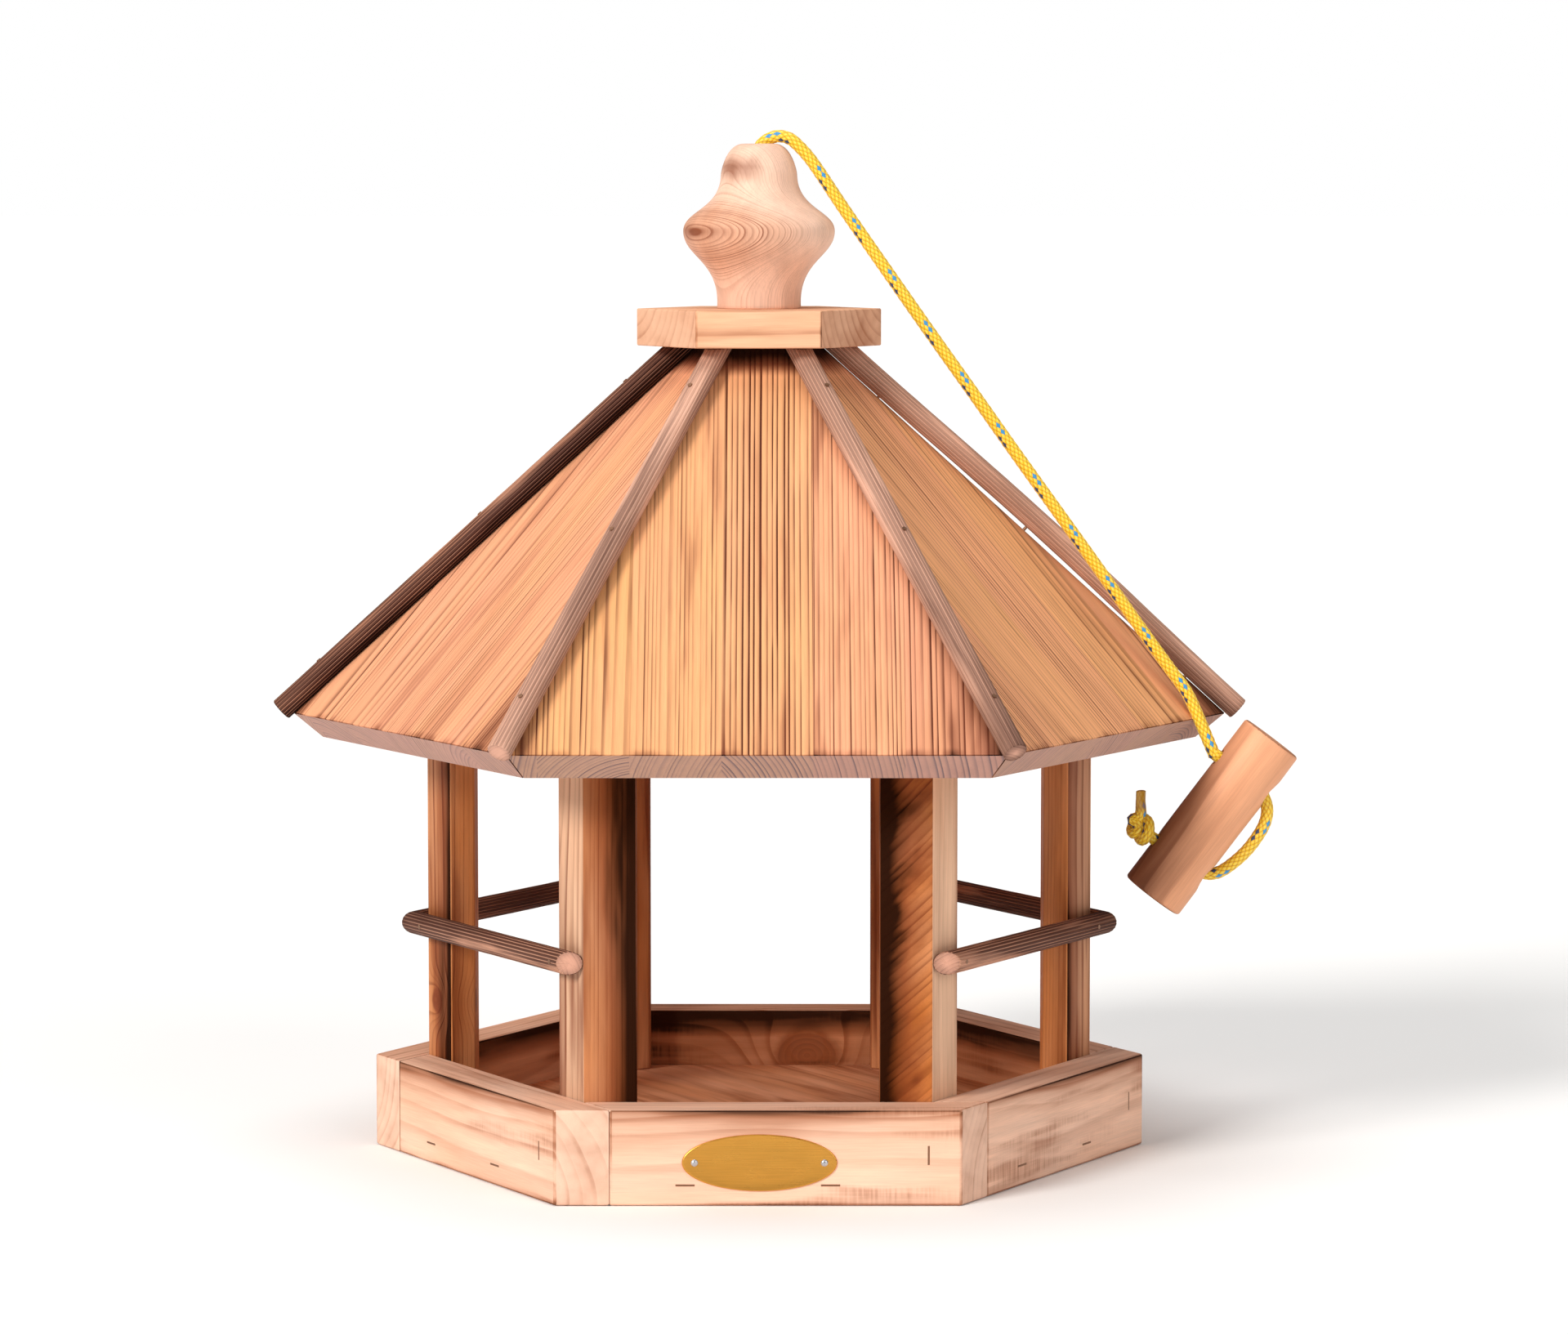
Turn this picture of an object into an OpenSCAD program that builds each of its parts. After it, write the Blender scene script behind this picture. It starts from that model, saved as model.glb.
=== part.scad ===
// Hanging bird feeder: a six-sided tray on which six posts carry a six-sided roof,
// with perches between the posts and a cord that ends in a peeled wooden toggle.
// Millimetres, +Z up. The origin is the centre of the tray's underside and the
// front of the feeder faces -Y.

/* [Tray] */
// Corner radius of the tray, from its centre to an outer corner
tray_r = 168; // [140:1:210]
// Height of the tray boards
tray_h = 40; // [30:1:60]
// Thickness of the tray boards
board_t = 20; // [14:0.5:26]
// Thickness of the floor board
floor_t = 12; // [8:0.5:16]
// Height of the floor board's underside above the boards' lower edges
floor_z = 2.5; // [0:0.5:10]

/* [Posts] */
// Width of each of a post's two outer faces
post_face = 22; // [16:0.5:26]
// Depth of a post's side faces, square to the outer faces
post_side = 12; // [8:0.5:15]

/* [Perches] */
// Diameter of the perches
perch_d = 10; // [8:0.5:14]
// Height of the perches' axes above the tray's underside
perch_z = 98; // [80:1:150]

/* [Roof] */
// Corner radius of the eaves, at the panels' top surface
eave_r = 203; // [165:1:245]
// Height of the eaves, at the panels' top surface
eave_z = 190; // [160:1:230]
// Height that the roof rises from the eaves to the underside of the cap
roof_rise = 160; // [130:1:195]
// Corner radius of the roof's top surface under the cap
roof_top_r = 27; // [22:0.5:32]
// Thickness of the roof panels
panel_t = 15.5; // [12:0.5:19]
// Half width across flats of the well that the panels leave under the cap
well_a = 12; // [10:0.5:14]
// Diameter of the round battens over the hips
batten_d = 10; // [8:0.5:12]
// Length of a batten below the eave
batten_over = 3; // [0:0.5:8]

/* [Cap and finial] */
// Corner radius of the cap board
cap_r = 53; // [46:0.5:65]
// Thickness of the cap board
cap_t = 16; // [12:0.5:20]
// Height of the turned finial
finial_h = 71; // [59:1:86]
// Radius of the finial's foot
finial_foot_r = 18.2; // [16:0.1:19]
// Radius of the finial's bead, its widest part
finial_bead_r = 32.8; // [27:0.1:39]
// Radius of the finial's neck, above the bead
finial_neck_r = 17.4; // [15:0.1:20]
// Radius of the finial's flat top
finial_top_r = 8; // [7:0.5:10]
// Diameter of the bore for the cord, through cap and finial
cord_bore_d = 9; // [8.5:0.1:11]

/* [Name plate] */
// Width of the oval plate
plate_w = 64; // [50:1:80]
// Height of the oval plate
plate_h = 23.6; // [18:0.2:30]
// Thickness of the plate
plate_t = 0.8; // [0.5:0.1:1.5]
// Distance from one plate pin to the other
plate_pin_gap = 53.6; // [42:0.2:60]

/* [Fasteners] */
// Length of a staple's crown
staple_w = 8; // [6:0.5:12]
// Thickness of the staple wire
staple_wire = 0.9; // [0.6:0.1:1.4]
// Length of a staple's legs
staple_leg = 28; // [26:1:32]
// Diameter of the brads in perches and battens
brad_d = 1.4; // [1:0.1:2]
// Diameter of the round nails in roof and cap
nail_d = 2; // [1.4:0.1:2.6]
// Diameter of the two screws that hold the finial
screw_d = 3.5; // [3:0.5:4]

/* [Cord and toggle] */
// Diameter of the cord
cord_d = 5.5; // [4.5:0.1:6]
// Length of the peeled wooden toggle
toggle_l = 85.5; // [72:0.5:102]
// Diameter of the toggle
toggle_d = 28.5; // [24:0.5:34]
// Distance from one cross hole of the toggle to the other
toggle_hole_gap = 45; // [40:0.5:50]
// Diameter of the toggle's cross holes
toggle_hole_d = 8; // [6.6:0.1:9]
// Diameter of the knots
knot_d = 14.4; // [13:0.2:16]

/* [Hidden] */
$fn = 64;
sides = [
    ["back_right", 30], ["back", 90], ["back_left", 150],
    ["front_left", 210], ["front", 270], ["front_right", 330]
];
corners = [
    ["right", 0], ["back_right", 60], ["back_left", 120],
    ["left", 180], ["front_left", 240], ["front_right", 300]
];
perch_sides = [for (s = sides) if (s[1] % 180 != 90) s];

// Margin by which a cutting solid passes the surface that it cuts.
over = 1;
// Size of the solids that cut half spaces.
big = 2 * max(tray_r, eave_r);

// Tray: apothems (centre to the middle of a side) and inner corner.
tray_a = tray_r * cos(30);
inner_a = tray_a - board_t;
inner_r = inner_a / cos(30);
floor_top = floor_z + floor_t;

// Roof: apothems, slopes of a panel and of a hip, and the cap's level.
eave_a = eave_r * cos(30);
roof_top_a = roof_top_r * cos(30);
cap_z = eave_z + roof_rise;
panel_pitch = atan(roof_rise / (eave_a - roof_top_a));
hip_pitch = atan(roof_rise / (eave_r - roof_top_r));
panel_l = roof_rise / sin(panel_pitch) + panel_t;
hip_l = roof_rise / sin(hip_pitch);
finial_z = cap_z + cap_t;

// Finial outline: heights of bead and neck, and the flare of the bore's mouth.
bead_z = finial_h * 0.47;
neck_z = finial_h * 0.817;
flare_h = 9;

// Name plate: centre on the front board.
plate_x = 0.7;
plate_z = 18;
pin_head_d = 3;
pin_top_d = 1.8;
pin_head_h = 0.7;
pin_shank_d = 1.6;
pin_l = 9;

// Staples: distance from a board's inner corner, heights and depths.
post_staple_in = 2;
post_staple_z = 21;
floor_staple_x = 30;
staple_proud = 0.1;
staple_crown_t = staple_wire * 0.7;

// Brads, nails and screws: places, lengths and heads.
brad_l = 22;
brad_head_d = brad_d * 1.4;
brad_head_t = 0.6;
perch_brad_in = 11.5;
batten_brad_at = [0.1, 0.5, 0.86];
nail_head_d = 3.6;
nail_head_t = 0.8;
roof_nail_out = 7;
roof_nail_up = (eave_r - inner_r - roof_nail_out) / cos(hip_pitch);
roof_nail_l = 39;
roof_nail_sunk = 1.2;
cap_nail_r = 20.5;
cap_nail_grip = 13;
screw_head_d = 5;
screw_head_t = 2;
screw_r = 9.5;
screw_l = 38;

// Toggle: it hangs beside the eave, leaning in the plane y = toggle_mid.y.
toggle_mid = [195.4, -28, 147.6];
toggle_lean = atan2(3, 4);
toggle_up = [sin(toggle_lean), 0, cos(toggle_lean)];
toggle_out = [cos(toggle_lean), 0, -sin(toggle_lean)];
toggle_r = toggle_d / 2;
hole_s = toggle_hole_gap / 2;
mouth_depth = 9;
mouth_d = 13.4;

// Hinge point of the toggle, and the end of its loop, as distances from its surface.
pivot_off = 2;
loop_end_off = 0.7;
hinge_ball_r = cord_d * 0.47;

// Cord: points of the stretch from the stopper knot to the toggle, chosen by hand.
cord_route = [
    [0, 0, 346], [-0.6, 0, 372], [-1.3, 0, 400], [-1.5, 0, 424], [-1.1, 0, 432],
    [0.5, -0.1, 435.8], [3.2, -0.4, 438.4], [6.5, -0.9, 439.9], [9.4, -1.3, 440.2],
    [12.4, -1.7, 439.5], [15.3, -2.2, 437.7], [20.8, -2.9, 432], [26, -3.7, 424.9],
    [38, -5.3, 407], [56, -7.9, 381.2], [74, -10.4, 355.6], [92, -12.9, 330.4],
    [110, -15.5, 305], [128, -18, 280], [146, -20.5, 255], [162, -22.8, 232.4],
    [176, -24.7, 213], [184, -25.9, 202], [188.4, -26.6, 193], [191.4, -27.1, 186],
    [194.7, -27.9, 178.2]
];
// Loop: points along and across the toggle, through its two cross holes.
loop_route = [
    [hole_s, -toggle_r - pivot_off], [hole_s, -8], [hole_s, 2], [hole_s - 0.6, 8],
    [hole_s - 2.5, 13.2], [hole_s - 6, 17.4], [hole_s - 11.5, 20], [3.8, 20.9],
    [-3.5, 20.7], [11.8 - hole_s, 19.3], [5.5 - hole_s, 17], [1.7 - hole_s, 13.2],
    [0.3 - hole_s, 8], [-hole_s, 2], [-hole_s, -8], [-hole_s, -toggle_r - loop_end_off]
];
cord_sides = 10;
stopper_tail_l = 15;
end_tail_l = 17;
tail_d = 5;
knot_off = sqrt(pow(knot_d / 2, 2) - pow(toggle_hole_d / 2, 2));
stopper_off = sqrt(pow(knot_d / 2, 2) - pow(cord_bore_d / 2, 2));
tail_bend = 37;

// ---- Helpers -------------------------------------------------------------

// Turns a side's local frame, where outward is -Y, to the side at azimuth az.
module at_side(az) {
    rotate([0, 0, az + 90]) children();
}

// Turns a corner's local frame, where outward is +X, to the corner at azimuth az.
module at_corner(az) {
    rotate([0, 0, az]) children();
}

// Frame of a hip: origin at the eave corner, +Z up the hip, +X square out of it.
module on_hip(az) {
    at_corner(az)
        translate([eave_r, 0, eave_z])
        rotate([0, hip_pitch - 90, 0])
        children();
}

// Frame of the toggle: +Z along it, +X out on the side of the cord's loop.
module on_toggle() {
    translate(toggle_mid) rotate([0, toggle_lean, 0]) children();
}

// Point at s along and w across the toggle, in the feeder's frame.
function toggle_point(s, w) = toggle_mid + s * toggle_up + w * toggle_out;

// Place up the hip of the batten brad at share f, moved clear of the roof nail.
function brad_up(f) =
    abs(f * hip_l - roof_nail_up) < nail_head_d ? roof_nail_up + nail_head_d : f * hip_l;

// One point of a Catmull-Rom curve between b and c.
function curve_point(a, b, c, d, t) =
    0.5 * (2 * b + t * (c - a) + t * t * (2 * a - 5 * b + 4 * c - d)
        + t * t * t * (3 * b - a - 3 * c + d));

// Points of the smooth curve through p, with n steps from each point to the next.
function smooth(p, n) = [
    for (i = [0 : len(p) - 2], k = [0 : n - 1])
        curve_point(p[max(i - 1, 0)], p[i], p[i + 1], p[min(i + 2, len(p) - 1)], k / n),
    p[len(p) - 1]
];

// Point at t on the cubic Bezier curve with the four control points q.
function bezier(q, t) =
    pow(1 - t, 3) * q[0] + 3 * pow(1 - t, 2) * t * q[1]
    + 3 * (1 - t) * t * t * q[2] + pow(t, 3) * q[3];

// Ring of points of radius r round p[i], square to the curve.
function ring(p, i, r) =
    let (
        along = p[min(i + 1, len(p) - 1)] - p[max(i - 1, 0)],
        t = along / norm(along),
        side = cross(t, [0, 1, 0]),
        m = side / norm(side),
        b = cross(m, t)
    )
    [for (k = [0 : cord_sides - 1])
        p[i] + r * (cos(360 * k / cord_sides) * b + sin(360 * k / cord_sides) * m)];

// Tube along the points p, with a radius for each of them.
module tube(p, radii) {
    rings = len(p);
    n = cord_sides;
    points = [for (i = [0 : rings - 1]) each ring(p, i, radii[i])];
    walls = [for (i = [0 : rings - 2], k = [0 : n - 1])
        [i * n + k, i * n + (k + 1) % n, (i + 1) * n + (k + 1) % n, (i + 1) * n + k]];
    start = [for (k = [n - 1 : -1 : 0]) k];
    end = [for (k = [0 : n - 1]) (rings - 1) * n + k];
    polyhedron(points = points, faces = concat(walls, [start], [end]));
}

// Staple driven along +Y into a face at y = 0, its crown along X.
module staple() {
    translate([-staple_w / 2, -staple_proud, -staple_wire / 2]) {
        cube([staple_w, staple_crown_t, staple_wire]);
        cube([staple_wire, staple_leg, staple_wire]);
        translate([staple_w - staple_wire, 0, 0])
            cube([staple_wire, staple_leg, staple_wire]);
    }
}

// Nail that runs down from z = 0, with a flat head.
module nail(shank_d, head_d, length, head_t) {
    rotate_extrude()
        polygon([
            [0, 0], [head_d / 2, 0], [head_d / 2, -head_t], [shank_d / 2, -head_t],
            [shank_d / 2, shank_d - length], [0, -length]
        ]);
}

// Everything above the underside of the roof panel on the local side.
module above_panel_underside() {
    translate([0, -eave_a, eave_z])
        rotate([panel_pitch, 0, 0])
        translate([-big, -big, -panel_t])
        cube(2 * big);
}

// ---- Tray ----------------------------------------------------------------

// Six-sided floor that fills the ring of boards.
module floor_board() {
    color("burlywood")
        translate([0, 0, floor_z])
        cylinder(r = inner_r, h = floor_t, $fn = 6);
}

// Board of one side. It butts on its neighbour at one end, and at the other end
// it runs through and is cut flush with the next side's outer face.
module tray_board(az) {
    lap = board_t / sin(60);
    color("navajowhite")
        at_side(az)
        linear_extrude(tray_h)
        polygon([
            [lap - tray_r / 2, -tray_a], [tray_r / 2, -tray_a],
            [tray_r / 2 + lap / 2, -inner_a], [lap / 2 - tray_r / 2, -inner_a]
        ]);
}

// Upright staples through the boards into the posts, one beside each inner corner.
module tray_staples() {
    color("silver")
        for (s = sides)
            at_side(s[1])
                translate([inner_r / 2 - post_staple_in, -tray_a, post_staple_z])
                rotate([0, 90, 0])
                staple();
}

// Staples through the boards into the floor's edges.
module floor_staples() {
    color("silver")
        for (s = sides, x = [-floor_staple_x, floor_staple_x])
            at_side(s[1])
                translate([x, -tray_a, floor_z + floor_t / 2])
                staple();
}

// ---- Posts and perches -----------------------------------------------------

// Five-sided post in an inner corner, from the floor to the roof's underside.
module post(az) {
    face_end = [inner_r - post_face * cos(60), post_face * sin(60)];
    back_end = face_end - post_side * [sin(60), cos(60)];
    color("sandybrown")
        difference() {
            at_corner(az)
                translate([0, 0, floor_top])
                linear_extrude(cap_z - floor_top)
                polygon([
                    [inner_r, 0], face_end, back_end,
                    [back_end.x, -back_end.y], [face_end.x, -face_end.y]
                ]);
            for (side = [az - 30, az + 30])
                at_side(side) above_panel_underside();
        }
}

// Round perch on the outer faces of two posts, cut flush with the front or back
// faces of the posts at one end and mitred on y = 0 at the other.
module perch(az) {
    color("rosybrown")
        intersection() {
            at_side(az)
                translate([-tray_r, -inner_a - perch_d / 2, perch_z])
                rotate([0, 90, 0])
                cylinder(d = perch_d, h = 2 * tray_r);
            translate([-big, az > 180 ? -inner_a : 0, 0])
                cube([2 * big, inner_a, big]);
        }
}

// Brads through the perches into the posts.
module perch_brads() {
    color("gainsboro")
        for (s = perch_sides, x = [-1, 1])
            at_side(s[1])
                translate([x * (inner_r / 2 - perch_brad_in), -inner_a - perch_d, perch_z])
                rotate([90, 0, 0])
                nail(brad_d, brad_head_d, brad_l, brad_head_t);
}

// ---- Roof ------------------------------------------------------------------

// Panel of one side: its hips are mitred, its eave is cut square and its upper
// end is level under the cap, short of the well in the middle.
module roof_panel(az) {
    half = tan(30);
    color("sandybrown")
        at_side(az)
        intersection() {
            translate([0, -eave_a, eave_z])
                rotate([panel_pitch, 0, 0])
                translate([-eave_r, 0, -panel_t])
                cube([2 * eave_r, panel_l, panel_t]);
            linear_extrude(cap_z)
                polygon([
                    [-half * well_a, -well_a], [-half * big, -big],
                    [half * big, -big], [half * well_a, -well_a]
                ]);
        }
}

// Round batten on one hip, cut level under the cap.
module hip_batten(az) {
    color("rosybrown")
        intersection() {
            on_hip(az)
                translate([batten_d / 2, 0, -batten_over])
                cylinder(d = batten_d, h = batten_over + hip_l + 2 * batten_d);
            translate([-big, -big, 0])
                cube([2 * big, 2 * big, cap_z]);
        }
}

// Brads through the battens into the hips.
module batten_brads() {
    color("gainsboro")
        for (c = corners, f = batten_brad_at)
            on_hip(c[1])
                translate([batten_d, 0, brad_up(f)])
                rotate([0, 90, 0])
                nail(brad_d, brad_head_d, brad_l, brad_head_t);
}

// One nail at each hip, under its batten, through both panels into the post.
module roof_nails() {
    color("gainsboro")
        for (c = corners)
            on_hip(c[1])
                translate([-roof_nail_sunk, 0, roof_nail_up])
                rotate([0, 90, 0])
                nail(nail_d, nail_head_d, roof_nail_l, nail_head_t);
}

// ---- Cap and finial ----------------------------------------------------------

// Six-sided board that closes the roof.
module cap_board() {
    color("burlywood")
        translate([0, 0, cap_z])
        difference() {
            cylinder(r = cap_r, h = cap_t, $fn = 6);
            translate([0, 0, -over])
                cylinder(d = cord_bore_d, h = cap_t + 2 * over);
        }
}

// Nails through the cap into the upper ends of the panels.
module cap_nails() {
    color("gainsboro")
        for (s = sides)
            at_side(s[1])
                translate([0, -cap_nail_r, finial_z])
                nail(nail_d, nail_head_d, cap_t + cap_nail_grip, nail_head_t);
}

// Turned finial: foot, bead, neck and rounded top, bored through for the cord.
module finial() {
    bore_r = cord_bore_d / 2;
    foot = [
        [finial_foot_r, 0], [finial_foot_r - 1, bead_z * 0.6],
        [finial_bead_r, bead_z * 0.72], [finial_bead_r, bead_z]
    ];
    shoulder = [
        [finial_bead_r, bead_z], [finial_bead_r, bead_z + (neck_z - bead_z) * 0.39],
        [finial_neck_r, bead_z + (neck_z - bead_z) * 0.43], [finial_neck_r, neck_z]
    ];
    dome = [
        [finial_neck_r, neck_z], [finial_neck_r - 0.8, neck_z + (finial_h - neck_z) * 0.4],
        [finial_neck_r - 2.9, finial_h], [finial_top_r, finial_h]
    ];
    outline = concat(
        [for (t = [0 : 0.1 : 0.95]) bezier(foot, t)],
        [for (t = [0 : 0.1 : 0.95]) bezier(shoulder, t)],
        [for (t = [0 : 0.125 : 1]) bezier(dome, t)]
    );
    color("wheat")
        translate([0, 0, finial_z])
        rotate_extrude()
        polygon(concat([[bore_r, 0]], outline, [[bore_r, finial_h - flare_h]]));
}

// Two screws from under the cap into the finial.
module finial_screws() {
    color("gainsboro")
        for (x = [-screw_r, screw_r])
            translate([x, 0, cap_z - screw_head_t])
                rotate([180, 0, 0])
                nail(screw_d, screw_head_d, screw_l, screw_head_t);
}

// ---- Name plate ----------------------------------------------------------------

// Plain oval plate on the front board.
module name_plate() {
    color("goldenrod")
        translate([plate_x, -tray_a, plate_z])
        rotate([90, 0, 0])
        difference() {
            linear_extrude(plate_t)
                polygon([for (a = [0 : 5 : 355])
                    [plate_w / 2 * cos(a), plate_h / 2 * sin(a)]]);
            for (x = [-1, 1])
                translate([x * plate_pin_gap / 2, 0, -over])
                    cylinder(d = pin_shank_d, h = plate_t + 2 * over);
        }
}

// Pins through the plate into the board.
module plate_pins() {
    color("silver")
        for (x = [-1, 1])
            translate([plate_x + x * plate_pin_gap / 2, -tray_a - plate_t, plate_z])
                rotate([90, 0, 0]) {
                    translate([0, 0, -pin_l])
                        cylinder(d = pin_shank_d, h = pin_l);
                    cylinder(d1 = pin_head_d, d2 = pin_top_d, h = pin_head_h);
                }
}

// ---- Cord and toggle -------------------------------------------------------------

// Knot under the cap that carries the feeder's weight, with its short tail.
module stopper_knot() {
    color("gold")
        translate([0, 0, cap_z - stopper_off]) {
            sphere(d = knot_d);
            translate([0, 0, -stopper_tail_l])
                cylinder(d = tail_d, h = stopper_tail_l);
        }
}

// Cord from the stopper knot over the finial's rim and the eave to the toggle.
module cord() {
    path = smooth(cord_route, 2);
    color("gold") tube(path, [for (q = path) cord_d / 2]);
}

// Cord through the toggle: in at one hole, round in a loop, back through the other.
// Its start is rounded about the hinge point.
module cord_loop() {
    path = smooth([for (q = loop_route) toggle_point(q[0], q[1])], 2);
    ball = [5, 30, 60];
    color("gold")
        tube(
            concat([for (a = ball) path[0] - hinge_ball_r * cos(a) * toggle_out], path),
            concat([for (a = ball) hinge_ball_r * sin(a)], [for (q = path) cord_d / 2])
        );
}

// Knot that stops the cord at the toggle's lower hole, with its melted tail.
module end_knot() {
    color("gold")
        on_toggle()
        translate([-toggle_r - knot_off, 0, -hole_s]) {
            sphere(d = knot_d);
            rotate([0, -tail_bend, 0])
                cylinder(d = tail_d, h = end_tail_l);
        }
}

// Peeled round stick with two cross holes, their mouths eased on the loop's side.
module toggle() {
    color("peru")
        on_toggle()
        difference() {
            translate([0, 0, -toggle_l / 2])
                cylinder(d = toggle_d, h = toggle_l);
            for (s = [-hole_s, hole_s])
                translate([0, 0, s])
                    rotate([0, 90, 0]) {
                        cylinder(d = toggle_hole_d, h = toggle_d + 2 * over, center = true);
                        translate([0, 0, toggle_r - mouth_depth])
                            cylinder(d1 = toggle_hole_d, d2 = mouth_d, h = mouth_depth);
                        translate([0, 0, toggle_r])
                            cylinder(d = mouth_d, h = over);
                    }
        }
}

// ---- Nodes -------------------------------------------------------------------------

floor_board();
for (s = sides) {
    tray_board(s[1]);
    roof_panel(s[1]);
}
for (c = corners) {
    post(c[1]);
    hip_batten(c[1]);
}
for (s = perch_sides)
    perch(s[1]);
cap_board();
finial();
name_plate();
plate_pins();
tray_staples();
floor_staples();
perch_brads();
batten_brads();
roof_nails();
cap_nails();
finial_screws();
stopper_knot();
cord();
cord_loop();
end_knot();
toggle();
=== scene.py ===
"""Looks of a hanging bird feeder: flame-burnt pine, ribbed dowels, a turned finial and
a braided cord that ends in a peeled wooden toggle. Metres, in the frame of the CAD model."""
import math
import random

import bmesh
import bpy
import numpy as np
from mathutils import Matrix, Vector, noise


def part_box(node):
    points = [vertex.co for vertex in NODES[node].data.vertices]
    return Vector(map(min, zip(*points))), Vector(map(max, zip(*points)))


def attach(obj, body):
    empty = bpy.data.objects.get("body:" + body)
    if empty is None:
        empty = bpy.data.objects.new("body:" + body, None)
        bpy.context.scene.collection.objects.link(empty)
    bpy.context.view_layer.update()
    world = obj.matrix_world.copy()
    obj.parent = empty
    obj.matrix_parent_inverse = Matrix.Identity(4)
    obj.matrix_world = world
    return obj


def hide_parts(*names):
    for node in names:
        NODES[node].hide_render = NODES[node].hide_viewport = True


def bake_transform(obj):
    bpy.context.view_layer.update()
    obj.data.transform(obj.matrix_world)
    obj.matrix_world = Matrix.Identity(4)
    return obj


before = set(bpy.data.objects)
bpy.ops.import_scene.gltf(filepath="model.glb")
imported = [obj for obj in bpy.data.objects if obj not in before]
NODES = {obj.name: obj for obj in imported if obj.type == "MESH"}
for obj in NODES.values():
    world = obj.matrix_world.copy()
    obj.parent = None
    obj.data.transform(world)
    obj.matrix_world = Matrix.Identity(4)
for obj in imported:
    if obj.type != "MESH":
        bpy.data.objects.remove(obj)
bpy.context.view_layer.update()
MM = 0.001

SIDES = {"back_right": 30, "back": 90, "back_left": 150,
         "front_left": 210, "front": 270, "front_right": 330}
CORNERS = {"right": 0, "back_right": 60, "back_left": 120,
           "left": 180, "front_left": 240, "front_right": 300}
UP = Vector((0, 0, 1))


# ---- Camera, light and floor ----

def add_camera():
    """Camera in front of the feeder, a little above its middle, looking slightly down."""
    data = bpy.data.cameras.new("camera")
    data.sensor_width = 36
    data.lens = 125.4
    data.clip_end = 200
    camera = bpy.data.objects.new("camera", data)
    camera.location = (0.0108, -2.3691, 0.4219)
    camera.rotation_euler = (math.radians(90 - 5.114), 0, 0)
    bpy.context.scene.collection.objects.link(camera)
    bpy.context.scene.camera = camera


def add_sun(name, towards, strength, angle, colour):
    """Distant soft light that comes from the direction towards."""
    data = bpy.data.lights.new(name, "SUN")
    data.energy = strength
    data.angle = math.radians(angle)
    data.color = colour
    sun = bpy.data.objects.new(name, data)
    sun.rotation_euler = Vector(towards).to_track_quat("Z", "Y").to_euler()
    bpy.context.scene.collection.objects.link(sun)


def add_world(ambient):
    """White surroundings: full white behind the object, and a softer light on it."""
    world = bpy.data.worlds.new("world")
    bpy.context.scene.world = world
    world.use_nodes = True
    tree = world.node_tree
    tree.nodes.clear()
    out = tree.nodes.new("ShaderNodeOutputWorld")
    seen = tree.nodes.new("ShaderNodeBackground")
    lit = tree.nodes.new("ShaderNodeBackground")
    lit.inputs["Strength"].default_value = ambient
    seen.inputs["Color"].default_value = (1, 1, 1, 1)
    lit.inputs["Color"].default_value = (1, 0.985, 0.97, 1)
    ray = tree.nodes.new("ShaderNodeLightPath")
    mix = tree.nodes.new("ShaderNodeMixShader")
    tree.links.new(ray.outputs["Is Camera Ray"], mix.inputs[0])
    tree.links.new(lit.outputs[0], mix.inputs[1])
    tree.links.new(seen.outputs[0], mix.inputs[2])
    tree.links.new(mix.outputs[0], out.inputs["Surface"])


def add_floor():
    """Plain pale floor that reaches the horizon, just clear of the tray."""
    half = 60.0
    mesh = bpy.data.meshes.new("floor")
    mesh.from_pydata([(-half, -half, 0), (half, -half, 0), (half, half, 0), (-half, half, 0)],
                     [], [(0, 1, 2, 3)])
    floor = bpy.data.objects.new("floor", mesh)
    bpy.context.scene.collection.objects.link(floor)
    gap = 0.2 * MM
    floor.location.z = -gap
    g = Graph("floor")
    g.finish(colour=(0.97, 0.965, 0.955, 1), roughness=0.9, specular=0.1)
    mesh.materials.append(g.material)


# ---- Node graphs ----

def srgb(r, g, b):
    """Linear colour of an 8-bit display colour."""
    def linear(v):
        v = v / 255
        return v / 12.92 if v < 0.04045 else ((v + 0.055) / 1.055) ** 2.4
    return (linear(r), linear(g), linear(b), 1)


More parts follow.
